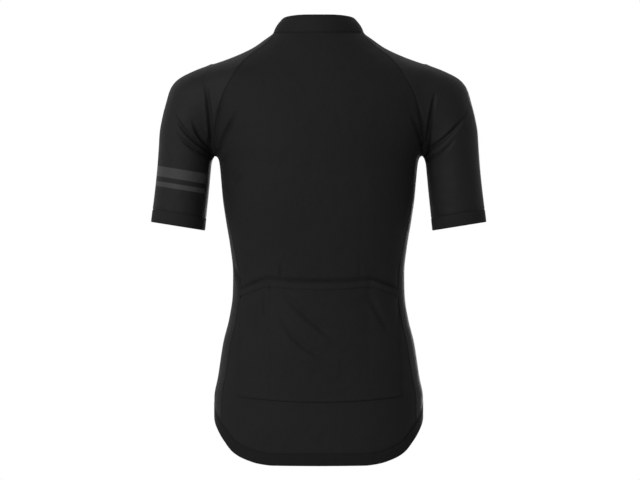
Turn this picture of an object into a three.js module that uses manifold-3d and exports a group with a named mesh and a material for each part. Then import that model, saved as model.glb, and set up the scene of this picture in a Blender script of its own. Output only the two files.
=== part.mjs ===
// A short-sleeved cycling jersey, zipped up and filled out as if it were worn.
// It is hollow, and open at the neck, the cuffs and the hem.
// Millimetres, +Z up. The wearer faces +Y and the wearer's right hand is at +X.
// The origin is in the middle of the neck opening, where the wearer carries the jersey.
// Every panel is a grid of points on one smooth figure, a torso joined softly to two arms.
// The panels share the points along each seam, are drawn back from it by half the seam gap,
// and get their cloth thickness inwards.

import * as THREE from 'three';
import { mergeVertices } from 'three/addons/utils/BufferGeometryUtils.js';
import Module from 'manifold-3d';

// Cloth and seams
const CLOTH = 1.4;
const COLLAR_CLOTH = 2;
const ELASTIC = 1.9;
const SEAM_GAP = 0.3;

// Sizes of the cut
const COLLAR_RISE = { back: 28, side: 25, front: 30 };
const COLLAR_LEAN = { back: 0.2, side: 0.66, front: 0.3 };
const CUFF = { outerZ: -291, innerZ: -305, depth: 20 };
const HEM_BAND_DEPTH = 18;
const ZIP_HALF_WIDTH = 4.5;
const ZIP_CROWN = 0.1;
const UNDERARM = { x: 166, y: 1, halfWidth: 13, below: -225, turn: (161 * Math.PI) / 180 };
const NECKLINE = { backZ: 11.5, frontZ: -42, dropFrom: 85, sleeveFrom: 73, sleeveTo: 118, centreY: 3 };
const POCKET = { halfTop: 126, halfBottom: 130, bottomZ: -577, bottomRise: 9, binding: 10.5, division: 78 };
const POCKET_LIFT = { seam: 0.9, mouth: 2.6, bridge: 0.4 };

// How finely each panel is divided
const GRID = {
  bodyRows: 12, raglanRows: 15, backColumns: 26, frontColumns: 9, sideColumns: 4, sleeveColumns: 26,
  sleeveRows: 6, collarRows: 2, hemRows: 2, pocketColumns: 26, pocketRows: 11, fineSteps: 90,
};
const COLUMN_CROWD = 0.45;
const RAGLAN_CROWD = 1.2;
const SHOULDER_STEPS = 400;

// The torso from the neck down: half width, depth behind and before the middle plane, and how square it is
const TORSO = [
  { z: 60, half: 60, back: 56, front: 46, power: 2 },
  { z: 12, half: 69, back: 61, front: 50, power: 2 },
  { z: 6, half: 79, back: 66, front: 52, power: 2 },
  { z: -3, half: 91, back: 73, front: 55, power: 2 },
  { z: -13, half: 105, back: 79, front: 58, power: 2 },
  { z: -22, half: 124, back: 84, front: 61, power: 2 },
  { z: -32, half: 148, back: 89, front: 65, power: 2 },
  { z: -42, half: 179, back: 94, front: 69, power: 2 },
  { z: -51, half: 204, back: 98, front: 74, power: 2 },
  { z: -61, half: 215, back: 102, front: 79, power: 2.05 },
  { z: -75, half: 215, back: 106, front: 86, power: 2.1 },
  { z: -90, half: 209, back: 110, front: 92, power: 2.15 },
  { z: -110, half: 198, back: 114, front: 100, power: 2.2 },
  { z: -140, half: 182, back: 117, front: 107, power: 2.25 },
  { z: -170, half: 168, back: 117, front: 111, power: 2.3 },
  { z: -195, half: 159, back: 115, front: 112, power: 2.3 },
  { z: -225, half: 156, back: 112, front: 111, power: 2.3 },
  { z: -253, half: 153.5, back: 108, front: 108, power: 2.3 },
  { z: -291, half: 148, back: 102, front: 105, power: 2.3 },
  { z: -330, half: 141.5, back: 95, front: 102, power: 2.3 },
  { z: -372, half: 137, back: 91, front: 100, power: 2.3 },
  { z: -406, half: 137.5, back: 91, front: 100, power: 2.3 },
  { z: -445, half: 143, back: 95, front: 102, power: 2.3 },
  { z: -483, half: 152.5, back: 101, front: 105, power: 2.3 },
  { z: -541, half: 161.5, back: 109, front: 109, power: 2.35 },
  { z: -570, half: 167, back: 112, front: 110, power: 2.4 },
  { z: -610, half: 167, back: 114, front: 110, power: 2.4 },
  { z: -700, half: 165, back: 114, front: 109, power: 2.4 },
];

// Each arm from the shoulder down: where its middle is, and half its size across and from back to front
const ARM = [
  { z: -42, centre: 172, half: 4, depth: 6, forward: 0 },
  { z: -50, centre: 174, half: 24, depth: 30, forward: 0 },
  { z: -61, centre: 179, half: 38, depth: 45, forward: 0 },
  { z: -68, centre: 183, half: 43, depth: 50, forward: 0 },
  { z: -75, centre: 187, half: 45, depth: 54, forward: 0 },
  { z: -90, centre: 193, half: 47, depth: 58, forward: 0 },
  { z: -109, centre: 199, half: 47.5, depth: 59, forward: 0 },
  { z: -128, centre: 204.5, half: 46.5, depth: 58, forward: 0 },
  { z: -147, centre: 209, half: 45.4, depth: 57, forward: 1 },
  { z: -176, centre: 212.5, half: 43.7, depth: 54, forward: 2 },
  { z: -205, centre: 215.2, half: 43.2, depth: 52, forward: 4 },
  { z: -243, centre: 219, half: 43.4, depth: 50.5, forward: 7 },
  { z: -282, centre: 223.5, half: 43.8, depth: 50, forward: 11 },
  { z: -330, centre: 229, half: 44.2, depth: 50, forward: 15 },
];

// How softly the arm runs into the torso
const MELT = [
  { z: -40, radius: 10 },
  { z: -80, radius: 24 },
  { z: -120, radius: 26 },
  { z: -160, radius: 18 },
  { z: -190, radius: 14 },
  { z: -215, radius: 6 },
];

// The raglan seams, by the share of the way from the underarm to the neckline
const RAGLAN = [
  { share: 0, back: 165, front: 165 },
  { share: 0.09, back: 168.5, front: 167 },
  { share: 0.18, back: 167, front: 164 },
  { share: 0.35, back: 160.5, front: 153 },
  { share: 0.52, back: 150, front: 139 },
  { share: 0.69, back: 131, front: 119 },
  { share: 0.8, back: 112, front: 99 },
  { share: 0.91, back: 84, front: 77 },
];

// The side seams, as the angle round the body from the middle of the back, in degrees
const SIDE_SEAMS = [
  { z: -170, back: 85.5, front: 95.5 },
  { z: -230, back: 82, front: 99 },
  { z: -300, back: 77, front: 105 },
  { z: -400, back: 72, front: 111 },
  { z: -480, back: 71, front: 114 },
  { z: -620, back: 71, front: 116 },
];

// The edge of the hem round the body, longest over the seat
const HEM = [
  { angle: 0, z: -678.5 },
  { angle: 34, z: -678 },
  { angle: 43, z: -675.5 },
  { angle: 54, z: -667 },
  { angle: 61, z: -657.5 },
  { angle: 69, z: -639 },
  { angle: 79, z: -618 },
  { angle: 90, z: -602 },
  { angle: 125, z: -585 },
  { angle: 180, z: -580 },
];

// The mouths of the three pockets, drawn up at the two divisions
const POCKET_MOUTH = [
  { x: 0, z: -388.5 },
  { x: 40, z: -387.5 },
  { x: 80, z: -384 },
  { x: 102, z: -391 },
  { x: 132, z: -403 },
];

// Folds: each runs from one point to the other with a bow to one side.
// hand is -1 on the wearer's left and +1 on the wearer's right
const FOLDS = [
  { face: 'back', hand: -1, fromX: 125, fromZ: -110, toX: 165, toZ: -178, bow: 3, depth: 2.6, width: 8 },
  { face: 'back', hand: -1, fromX: 234, fromZ: -118, toX: 180, toZ: -180, bow: -6, depth: 3, width: 8 },
  { face: 'back', hand: 1, fromX: 142, fromZ: -116, toX: 168, toZ: -174, bow: 2, depth: 2.8, width: 8 },
  { face: 'back', hand: 1, fromX: 236, fromZ: -114, toX: 181, toZ: -178, bow: -4, depth: 2.8, width: 8 },
  { face: 'front', hand: -1, fromX: 122, fromZ: -118, toX: 164, toZ: -176, bow: 4, depth: 2.6, width: 8 },
  { face: 'front', hand: 1, fromX: 224, fromZ: -120, toX: 180, toZ: -180, bow: -4, depth: 2.6, width: 8 },
  { face: 'back', hand: -1, fromX: 60, fromZ: -400, toX: -20, toZ: -474, bow: -3, depth: 1.4, width: 11 },
  { face: 'back', hand: 1, fromX: 86, fromZ: -400, toX: 112, toZ: -470, bow: -2, depth: 1.2, width: 11 },
];

// Shape of a fold: it fades in from its start and half out at its end, and its sides rise a little
const FOLD_FORM = { fadeIn: 0.35, fadeOut: 0.25, left: 0.5, sideRise: 0.9, facing: 12 };

// Where the seams turn from one rule to the next
const SIDE_SEAM_BENDS = -240;
const SHOULDER_PIVOT = { x: 140, z: -118, from: -22 };
const SHOULDER_ARCH = { from: 0.4, over: 0.35 };
const COLLAR_TURNS = { back: 20, side: 90, front: 170 };

// Zip slider and pull
const SLIDER = { width: 8.4, length: 11, thickness: 2.6, stand: 0.3, belowTop: 19, weld: 0.4 };
const LUG = { gap: 4.8, width: 1.1, length: 4.6, cap: 0.8 };
const PIN = { radius: 0.75, height: 3, sides: 12 };
const PULL = {
  neck: 4, eye: 2.2, hole: 1.2, weld: 0.3, waist: 4.5, grip: 6.6, length: 24, thickness: 1.5, rest: 0.4,
  curveSteps: 8, tiltStep: 0.25, zipRowsBelow: 6,
};

const CLOTH_BLACK = { color: 0x1b1b1c, roughness: 0.82, metalness: 0 };
const ELASTIC_BLACK = { color: 0x141415, roughness: 0.88, metalness: 0 };
const ZIP_BLACK = { color: 0x101011, roughness: 0.5, metalness: 0.1 };
const METAL_BLACK = { color: 0x1a1a1b, roughness: 0.35, metalness: 0.8 };

const degrees = Math.PI / 180;
const mix = (a, b, share) => a + (b - a) * share;
const clamp = (value, low, high) => Math.min(high, Math.max(low, value));
const smooth = (share) => {
  const t = clamp(share, 0, 1);
  return t * t * (3 - 2 * t);
};
const point = (x, y, z) => new THREE.Vector3(x, y, z);

// A smooth curve through one column of a table, which never overshoots its rows
function column(rows, name, key) {
  const sorted = [...rows].sort((a, b) => a[key] - b[key]);
  const at = sorted.map((row) => row[key]);
  const value = sorted.map((row) => row[name]);
  const last = at.length - 1;
  const slope = at.slice(1).map((x, i) => (value[i + 1] - value[i]) / (x - at[i]));
  const tangent = value.map((_, i) => {
    if (i === 0) return slope[0];
    if (i === last) return slope[last - 1];
    const [before, after] = [slope[i - 1], slope[i]];
    return before * after <= 0 ? 0 : (2 * before * after) / (before + after);
  });
  return (x) => {
    if (x <= at[0]) return value[0];
    if (x >= at[last]) return value[last];
    let i = 0;
    while (x > at[i + 1]) i += 1;
    const width = at[i + 1] - at[i];
    const t = (x - at[i]) / width;
    const [t2, t3] = [t * t, t * t * t];
    return (2 * t3 - 3 * t2 + 1) * value[i] + (t3 - 2 * t2 + t) * width * tangent[i]
      + (3 * t2 - 2 * t3) * value[i + 1] + (t3 - t2) * width * tangent[i + 1];
  };
}

const columns = (rows, key, names) => Object.fromEntries(
  names.map((name) => [name, column(rows, name, key)]),
);
const torso = columns(TORSO, 'z', ['half', 'back', 'front', 'power']);
const arm = columns(ARM, 'z', ['centre', 'half', 'depth', 'forward']);
const melt = columns(MELT, 'z', ['radius']);
const sideSeam = columns(SIDE_SEAMS, 'z', ['back', 'front']);
const hem = columns(HEM, 'angle', ['z']);
const pocketMouth = columns(POCKET_MOUTH, 'x', ['z']);

// Below 0 inside the figure, above 0 outside it
function figure(x, y, z) {
  const half = torso.half(z);
  const deep = y < 0 ? torso.back(z) : torso.front(z);
  const power = torso.power(z);
  const round = (Math.abs(x / half) ** power + Math.abs(y / deep) ** power) ** (1 / power);
  const body = (round - 1) * Math.min(half, deep);
  const across = (Math.abs(x) - arm.centre(z)) / arm.half(z);
  const aboveArm = Math.max(0, z - ARM[0].z);
  const limb = (Math.hypot(across, (y - arm.forward(z)) / arm.depth(z)) - 1) * arm.half(z) + aboveArm;
  const radius = melt.radius(z);
  const near = Math.max(radius - Math.abs(body - limb), 0) / radius;
  return Math.min(body, limb) - (near * near * radius) / 4;
}

const inside = (p) => figure(p.x, p.y, p.z) < 0;

function normalAt(p) {
  const step = 0.6;
  return point(
    figure(p.x + step, p.y, p.z) - figure(p.x - step, p.y, p.z),
    figure(p.x, p.y + step, p.z) - figure(p.x, p.y - step, p.z),
    figure(p.x, p.y, p.z + step) - figure(p.x, p.y, p.z - step),
  ).normalize();
}

// The first place where a straight way leaves the figure, or enters it
function meet(start, direction, entering = false) {
  const at = (distance) => start.clone().addScaledVector(direction, distance);
  const [stride, farthest, halvings] = [3, 500, 30];
  let [near, far] = [0, stride];
  while (inside(at(far)) !== entering) {
    near = far;
    far += stride;
    if (far > farthest) throw new Error(`no surface from ${start.toArray().map(Math.round)}`);
  }
  for (let i = 0; i < halvings; i += 1) {
    const middle = (near + far) / 2;
    if (inside(at(middle)) === entering) far = middle;
    else near = middle;
  }
  return at(far);
}

// The nearest place on the figure to a point close to it
function settle(p) {
  const at = p.clone();
  const [rounds, step, longest] = [12, 0.05, 4];
  for (let i = 0; i < rounds; i += 1) {
    const value = figure(at.x, at.y, at.z);
    const slope = point(
      figure(at.x + step, at.y, at.z) - figure(at.x - step, at.y, at.z),
      figure(at.x, at.y + step, at.z) - figure(at.x, at.y - step, at.z),
      figure(at.x, at.y, at.z + step) - figure(at.x, at.y, at.z - step),
    ).divideScalar(2 * step);
    at.addScaledVector(slope, clamp(-value / slope.lengthSq(), -longest, longest));
  }
  return at;
}

// A point on the body at an angle round it, 0 at the middle of the back and 180 at the middle of the front
function bodyPoint(angle, z) {
  const [across, along] = [Math.sin(angle * degrees), -Math.cos(angle * degrees)];
  const deep = along < 0 ? torso.back(z) : torso.front(z);
  const power = torso.power(z);
  const reach = (Math.abs(across / torso.half(z)) ** power + Math.abs(along / deep) ** power) ** (-1 / power);
  return settle(point(across * reach, along * reach, z));
}
const angleOf = (p) => Math.atan2(p.x, -p.y) / degrees;
const behind = (x, z) => meet(point(x, 0, z), point(0, -1, 0));
const before = (x, z) => meet(point(x, 0, z), point(0, 1, 0));

function necklineZ(angle) {
  const share = (Math.abs(angle) - NECKLINE.dropFrom) / (180 - NECKLINE.dropFrom);
  return mix(NECKLINE.backZ, NECKLINE.frontZ, smooth(share));
}

const necklinePoint = (angle) => bodyPoint(angle, necklineZ(angle));
const hemEdgeZ = (angle) => hem.z(Math.abs(angle));

// The top of the hem band keeps its depth where the edge slopes
function hemTopZ(angle) {
  const turn = 3;
  const a = bodyPoint(angle - turn, hemEdgeZ(angle - turn));
  const b = bodyPoint(angle + turn, hemEdgeZ(angle + turn));
  const slope = (b.z - a.z) / Math.hypot(b.x - a.x, b.y - a.y);
  return hemEdgeZ(angle) + HEM_BAND_DEPTH * Math.hypot(1, slope);
}

// Points evenly spread along a line of points, or closer together towards both ends
function spread(line, count, crowd = 0) {
  const along = [0];
  for (let i = 1; i < line.length; i += 1) along.push(along[i - 1] + line[i].distanceTo(line[i - 1]));
  const total = along[along.length - 1];
  return Array.from({ length: count + 1 }, (_, n) => {
    const even = n / count;
    const target = total * mix(even, (1 - Math.cos(Math.PI * even)) / 2, crowd);
    let i = 1;
    while (i < line.length - 1 && along[i] < target) i += 1;
    return line[i - 1].clone().lerp(line[i], (target - along[i - 1]) / (along[i] - along[i - 1]));
  });
}

// Points spread along the figure from one seam point to another, near a guide line
function surfaceLine(guide, first, last, count, crowd = 0) {
  const end = guide.length - 1;
  const reach = 0.4;
  const startShift = first.clone().sub(guide[0]);
  const endShift = last.clone().sub(guide[end]);
  const line = guide.map((p, i) => {
    const share = i / end;
    const moved = p.clone().addScaledVector(startShift, 1 - smooth(share / reach));
    return settle(moved.addScaledVector(endShift, 1 - smooth((1 - share) / reach)));
  });
  [line[0], line[end]] = [first, last];
  return spread(line, count, crowd).map((p, i) => (i === 0 ? first : i === count ? last : settle(p)));
}

// How far the folds push the cloth out at a point of the figure
const foldLines = FOLDS.map((fold) => {
  const start = new THREE.Vector2(fold.hand * fold.fromX, fold.fromZ);
  const end = new THREE.Vector2(fold.hand * fold.toX, fold.toZ);
  const side = end.clone().sub(start).normalize();
  const middle = start.clone().lerp(end, 0.5)
    .add(new THREE.Vector2(-side.y, side.x).multiplyScalar(2 * fold.bow * fold.hand));
  return { ...fold, path: new THREE.QuadraticBezierCurve(start, middle, end).getPoints(16) };
});

function foldDepth(p) {
  let total = 0;
  const here = new THREE.Vector2(p.x, p.z);
  const { fadeIn, fadeOut, left, sideRise, facing: turning } = FOLD_FORM;
  for (const fold of foldLines) {
    const facing = smooth((fold.face === 'back' ? -p.y : p.y) / turning);
    if (facing === 0) continue;
    let [best, share] = [Infinity, 0];
    for (let i = 1; i < fold.path.length; i += 1) {
      const way = fold.path[i].clone().sub(fold.path[i - 1]);
      const t = clamp(here.clone().sub(fold.path[i - 1]).dot(way) / way.lengthSq(), 0, 1);
      const gap = here.distanceTo(fold.path[i - 1].clone().addScaledVector(way, t));
      if (gap < best) [best, share] = [gap, (i - 1 + t) / (fold.path.length - 1)];
    }
    const reach = best / fold.width;
    const taper = smooth(share / fadeIn) * mix(1, left, smooth((share - 1 + fadeOut) / fadeOut));
    total -= fold.depth * facing * taper * (1 - sideRise * reach * reach) * Math.exp(-reach * reach);
  }
  return total;
}

// One layer of cloth before it has a thickness: points of the figure, and quads of four corners between them
class Layer {
  constructor() {
    this.points = [];
    this.quads = [];
  }

  add(p) {
    this.points.push(p.clone());
    return this.points.length - 1;
  }

  // rows of equally many points, joined to each other, and into a tube if they close
  grid(rows, closed = false) {
    const ids = rows.map((row) => row.map((p) => (p.isVector3 ? this.add(p) : p)));
    for (let r = 1; r < ids.length; r += 1) {
      const count = closed ? ids[r].length : ids[r].length - 1;
      for (let c = 0; c < count; c += 1) {
        const next = (c + 1) % ids[r].length;
        this.quads.push([ids[r - 1][c], ids[r - 1][next], ids[r][next], ids[r][c]]);
      }
    }
    return ids;
  }

  // the directed edges that belong to one quad only
  rim() {
    const edges = new Map();
    for (const quad of this.quads) {
      quad.forEach((a, i) => {
        const b = quad[(i + 1) % 4];
        edges.set(`${a} ${b}`, [a, b]);
      });
    }
    return [...edges.values()].filter(([a, b]) => !edges.has(`${b} ${a}`));
  }

  // makes the quads run anticlockwise seen from outside
  faceOut(normals) {
    let sum = 0;
    for (const [a, b, c] of this.quads) {
      const ab = this.points[b].clone().sub(this.points[a]);
      const ac = this.points[c].clone().sub(this.points[a]);
      sum += ab.cross(ac).dot(normals[a]);
    }
    if (sum < 0) this.quads.forEach((quad) => quad.reverse());
  }

  // draws every edge of the layer back by half the seam gap
  drawBack(normals, distance) {
    const moves = new Map();
    for (const [a, b] of this.rim()) {
      const edge = this.points[b].clone().sub(this.points[a]);
      for (const id of [a, b]) {
        const inward = normals[id].clone().cross(edge).normalize();
        moves.set(id, [...(moves.get(id) ?? []), inward]);
      }
    }
    const sharpest = 0.4;
    for (const [id, [first, second]] of moves) {
      const both = first.clone().add(second);
      this.points[id].addScaledVector(both, distance / Math.max(sharpest, 1 + first.dot(second)));
    }
  }
}

// A mesh of a layer: its outer face is moved out by lift, and its wall is thick towards the inside
function clothMesh(name, layer, options = {}) {
  const { thick = CLOTH, lift = () => 0, normal = normalAt, folded = true, finish = CLOTH_BLACK } = options;
  const normals = layer.points.map(normal);
  layer.faceOut(normals);
  const heights = layer.points.map((p) => (folded ? foldDepth(p) : 0) + lift(p));
  layer.drawBack(normals, SEAM_GAP / 2);
  const outer = layer.points.map((p, i) => p.clone().addScaledVector(normals[i], heights[i]));
  const inner = layer.points.map((p, i) => p.clone().addScaledVector(normals[i], heights[i] - thick));
  const corners = [...outer, ...inner];
  const depth = outer.length;
  const faces = [];
  for (const [a, b, c, d] of layer.quads) {
    const shortWay = outer[a].distanceTo(outer[c]) <= outer[b].distanceTo(outer[d]);
    const halves = shortWay ? [[a, b, c], [a, c, d]] : [[a, b, d], [b, c, d]];
    for (const [p, q, r] of halves) faces.push([p, q, r], [p + depth, r + depth, q + depth]);
  }
  for (const [a, b] of layer.rim()) {
    const shortWay = outer[b].distanceTo(inner[a]) <= outer[a].distanceTo(inner[b]);
    if (shortWay) faces.push([b, a, a + depth], [b, a + depth, b + depth]);
    else faces.push([b, a, b + depth], [a, a + depth, b + depth]);
  }
  const geometry = new THREE.BufferGeometry();
  geometry.setAttribute('position', new THREE.Float32BufferAttribute(corners.flatMap((p) => p.toArray()), 3));
  geometry.setIndex(faces.flat());
  geometry.computeVertexNormals();
  return named(name, geometry, finish);
}

function named(name, geometry, finish) {
  const mesh = new THREE.Mesh(geometry, new THREE.MeshStandardMaterial(finish));
  mesh.name = name;
  return mesh;
}

// Seams shared by the panels, worked out on the wearer's right and mirrored
const mirrored = (p) => point(-p.x, p.y, p.z);
const mirroredAll = (line) => line.map(mirrored);
const onSide = (line, side) => (side === 'right' ? line : mirroredAll(line));

const underarmSeam = Array.from({ length: GRID.sideColumns + 1 }, (_, c) => {
  const y = UNDERARM.y + mix(-UNDERARM.halfWidth, UNDERARM.halfWidth, c / GRID.sideColumns);
  return meet(point(UNDERARM.x, y, UNDERARM.below), point(0, 0, 1), true);
});
const underarmBack = underarmSeam[0];
const underarmFront = underarmSeam[GRID.sideColumns];

const raglanShares = Array.from(
  { length: GRID.raglanRows + 1 },
  (_, r) => (r / GRID.raglanRows) ** RAGLAN_CROWD,
);
const neckBack = necklinePoint(NECKLINE.sleeveFrom);
const neckFront = necklinePoint(NECKLINE.sleeveTo);
const raglan = columns(
  [...RAGLAN, { share: 1, back: neckBack.x, front: neckFront.x }],
  'share',
  ['back', 'front'],
);
const raglanBack = raglanShares.map((share, r) => {
  if (r === 0) return underarmBack;
  if (share === 1) return neckBack;
  return behind(raglan.back(share), mix(underarmBack.z, neckBack.z, share));
});
const raglanFront = raglanShares.map((share, r) => {
  if (r === 0) return underarmFront;
  if (share === 1) return neckFront;
  return before(raglan.front(share), mix(underarmFront.z, neckFront.z, share));
});

// A side seam runs up from the hem band to the underarm
function sideSeamLine(which, top) {
  const topAngle = angleOf(top);
  const bottomAngle = sideSeam[which](HEM[0].z);
  const bottom = hemTopZ(bottomAngle);
  return Array.from({ length: GRID.bodyRows + 1 }, (_, r) => {
    if (r === GRID.bodyRows) return top;
    const z = mix(bottom, top.z, r / GRID.bodyRows);
    const bend = smooth((z - SIDE_SEAM_BENDS) / (top.z - SIDE_SEAM_BENDS));
    const angle = mix(sideSeam[which](z), topAngle, bend);
    return bodyPoint(angle, z);
  });
}
const sideBack = sideSeamLine('back', underarmBack);
const sideFront = sideSeamLine('front', underarmFront);

// A row along the body between two seam points, whose height is given by the share of the way between them
function bodyRow(first, last, heightAt, count, crowd = 0) {
  const [from, to] = [angleOf(first), angleOf(last)];
  const guide = Array.from({ length: GRID.fineSteps + 1 }, (_, i) => {
    const share = i / GRID.fineSteps;
    return bodyPoint(mix(from, to, share), heightAt(share));
  });
  return surfaceLine(guide, first, last, count, crowd);
}

// The middle of the front ends beside the zip
const zipEdge = (z) => before(ZIP_HALF_WIDTH, z);

// From the hem band up to the underarm, then between the raglan seams up to the neckline
function backPanel() {
  const hemAngle = angleOf(sideBack[0]);
  const lower = sideBack.slice(0, -1).map((edge, r) => {
    const up = r / GRID.bodyRows;
    const height = (share) => mix(hemTopZ(mix(-hemAngle, hemAngle, share)), underarmBack.z, up);
    return bodyRow(mirrored(edge), edge, height, GRID.backColumns, COLUMN_CROWD);
  });
  const upper = raglanBack.map((edge) => (
    bodyRow(mirrored(edge), edge, () => edge.z, GRID.backColumns, COLUMN_CROWD)
  ));
  return [...lower, ...upper];
}

function frontPanel() {
  const hemAngle = angleOf(sideFront[0]);
  const lower = sideFront.slice(0, -1).map((edge, r) => {
    const height = (share) => mix(hemTopZ(mix(hemAngle, 180, share)), underarmFront.z, r / GRID.bodyRows);
    return bodyRow(edge, zipEdge(height(1)), height, GRID.frontColumns);
  });
  const upper = raglanFront.map((edge, r) => {
    const height = (share) => mix(
      underarmFront.z,
      necklineZ(mix(NECKLINE.sleeveTo, 180, share)),
      raglanShares[r],
    );
    return bodyRow(edge, zipEdge(height(1)), height, GRID.frontColumns);
  });
  return [...lower, ...upper];
}

function sidePanel() {
  const [backAngle, frontAngle] = [angleOf(sideBack[0]), angleOf(sideFront[0])];
  return sideBack.map((edge, r) => {
    if (r === GRID.bodyRows) return underarmSeam;
    const height = (share) => mix(
      hemTopZ(mix(backAngle, frontAngle, share)),
      mix(underarmBack.z, underarmFront.z, share),
      r / GRID.bodyRows,
    );
    return bodyRow(edge, sideFront[r], height, GRID.sideColumns);
  });
}

// The outline of the shoulder and arm, from the underarm's level up over the shoulder to the neckline
const shoulderPivot = point(SHOULDER_PIVOT.x, 0, SHOULDER_PIVOT.z);
const shoulderLine = (() => {
  const neckSide = necklinePoint(90);
  const top = Math.atan2(neckSide.z - shoulderPivot.z, neckSide.x - shoulderPivot.x) / degrees;
  const line = Array.from({ length: GRID.fineSteps + 1 }, (_, i) => {
    const angle = mix(SHOULDER_PIVOT.from, top, i / GRID.fineSteps) * degrees;
    return meet(shoulderPivot, point(Math.cos(angle), 0, Math.sin(angle)));
  });
  line[GRID.fineSteps] = neckSide;
  return line;
})();

const shoulderFine = spread(shoulderLine, SHOULDER_STEPS);
const alongShoulder = (share) => shoulderFine[Math.round(clamp(share, 0, 1) * SHOULDER_STEPS)];

// A guide round the arm: half an ellipse behind and half before a centre halfway out to the shoulder line
function ellipseGuide(back, top, front) {
  const middle = back.clone().lerp(front, 0.5);
  const centre = middle.clone().lerp(top, 0.5);
  const outward = top.clone().sub(centre);
  const half = outward.length();
  outward.normalize();
  const forward = front.clone().sub(back);
  forward.addScaledVector(outward, -forward.dot(outward)).normalize();
  const backDepth = meet(centre, forward.clone().negate()).distanceTo(centre);
  const frontDepth = meet(centre, forward).distanceTo(centre);
  const turnOf = (p, deep) => {
    const way = p.clone().sub(centre);
    return Math.atan2(way.dot(forward) / deep, way.dot(outward) / half);
  };
  const [from, to] = [turnOf(back, backDepth), turnOf(front, frontDepth)];
  return (share) => {
    const turn = mix(from, to, share);
    const deep = turn < 0 ? backDepth : frontDepth;
    return centre.clone()
      .addScaledVector(outward, half * Math.cos(turn))
      .addScaledVector(forward, deep * Math.sin(turn));
  };
}

// Row of the sleeve from the back raglan seam over the shoulder line to the front one
function raglanRow(r) {
  const share = raglanShares[r];
  const [back, front] = [raglanBack[r], raglanFront[r]];
  if (share === 1) {
    const height = (across) => necklineZ(mix(NECKLINE.sleeveFrom, NECKLINE.sleeveTo, across));
    return bodyRow(back, front, height, GRID.sleeveColumns);
  }
  const top = alongShoulder(share);
  const round = ellipseGuide(back, top, front);
  const control = top.clone().multiplyScalar(2).addScaledVector(back, -0.5).addScaledVector(front, -0.5);
  const arch = new THREE.QuadraticBezierCurve3(back, control, front);
  const flat = smooth((share - SHOULDER_ARCH.from) / SHOULDER_ARCH.over);
  const guide = Array.from({ length: GRID.fineSteps + 1 }, (_, i) => {
    const across = i / GRID.fineSteps;
    return round(across).lerp(arch.getPoint(across), flat);
  });
  return surfaceLine(guide, back, front, GRID.sleeveColumns, COLUMN_CROWD * (1 - share));
}

// Ring of the arm at one height on its outside and another on its inside.
// Its first columns go over the outside
function armRing(outerZ, innerZ) {
  const middleZ = (outerZ + innerZ) / 2;
  const centre = point(arm.centre(middleZ), arm.forward(middleZ), middleZ);
  const outward = point(2 * arm.half(middleZ), 0, outerZ - innerZ).normalize();
  const forward = point(0, 1, 0);
  const part = (from, to, count) => spread(Array.from({ length: GRID.fineSteps + 1 }, (_, i) => {
    const turn = mix(from, to, i / GRID.fineSteps);
    const way = outward.clone().multiplyScalar(Math.cos(turn)).addScaledVector(forward, Math.sin(turn));
    return meet(centre, way);
  }), count);
  const outerPart = part(-UNDERARM.turn, UNDERARM.turn, GRID.sleeveColumns);
  return [...outerPart, ...part(UNDERARM.turn, 2 * Math.PI - UNDERARM.turn, GRID.sideColumns).slice(1, -1)];
}

const cuffEdgeRing = armRing(CUFF.outerZ, CUFF.innerZ);
const cuffTopRing = armRing(CUFF.outerZ + CUFF.depth, CUFF.innerZ + CUFF.depth);
const armholeRing = [...raglanRow(0), ...[...underarmSeam].reverse().slice(1, -1)];

function sleeveLayer(side) {
  const lower = Array.from({ length: GRID.sleeveRows + 1 }, (_, r) => {
    if (r === 0) return cuffTopRing;
    if (r === GRID.sleeveRows) return armholeRing;
    return cuffTopRing.map((p, c) => settle(p.clone().lerp(armholeRing[c], r / GRID.sleeveRows)));
  });
  const layer = new Layer();
  const tube = layer.grid(lower.map((ring) => onSide(ring, side)), true);
  const seam = tube[GRID.sleeveRows].slice(0, GRID.sleeveColumns + 1);
  const upper = raglanShares.slice(1).map((_, r) => onSide(raglanRow(r + 1), side));
  layer.grid([seam, ...upper]);
  return layer;
}

function cuffLayer(side) {
  const layer = new Layer();
  layer.grid([cuffEdgeRing, cuffTopRing].map((ring) => onSide(ring, side)), true);
  return layer;
}

const gridLayer = (rows, side = 'right') => {
  const layer = new Layer();
  layer.grid(rows.map((row) => onSide(row, side)));
  return layer;
};

const backRows = backPanel();
const frontRows = frontPanel();
const sideRows = sidePanel();

// The upper edge of the hem band, from the zip on the wearer's right round the back to the zip on the left
const hemTopLine = (() => {
  const right = [...frontRows[0]].reverse().slice(0, -1);
  const rightSide = [...sideRows[0]].reverse().slice(0, -1);
  const back = [...backRows[0]].reverse();
  const left = [...mirroredAll(rightSide).reverse(), ...mirroredAll(right).reverse()];
  return [...right, ...rightSide, ...back, ...left];
})();

function hemBand() {
  const ends = hemTopLine.length - 1;
  return Array.from({ length: GRID.hemRows + 1 }, (_, r) => hemTopLine.map((p, i) => {
    if (r === 0) return p;
    const share = r / GRID.hemRows;
    const z = mix(p.z, hemEdgeZ(angleOf(p)), share);
    if (i === 0 || i === ends) return before(p.x, z);
    return bodyPoint(angleOf(p), z);
  }));
}

// The neckline, from the zip on the wearer's right round the back to the zip on the left
const necklineLine = (() => {
  const front = [...frontRows[frontRows.length - 1]].reverse().slice(0, -1);
  const sleeve = raglanRow(GRID.raglanRows).reverse().slice(0, -1);
  const back = [...backRows[backRows.length - 1]].reverse();
  return [...front, ...sleeve, ...back, ...mirroredAll(sleeve).reverse(), ...mirroredAll(front).reverse()];
})();

// The share of back, side and front at an angle round the neck
function roundNeck(sizes, angle) {
  const turn = Math.abs(angle);
  const { back, side, front } = COLLAR_TURNS;
  if (turn < side) return mix(sizes.back, sizes.side, smooth((turn - back) / (side - back)));
  return mix(sizes.side, sizes.front, smooth((turn - side) / (front - side)));
}

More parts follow.
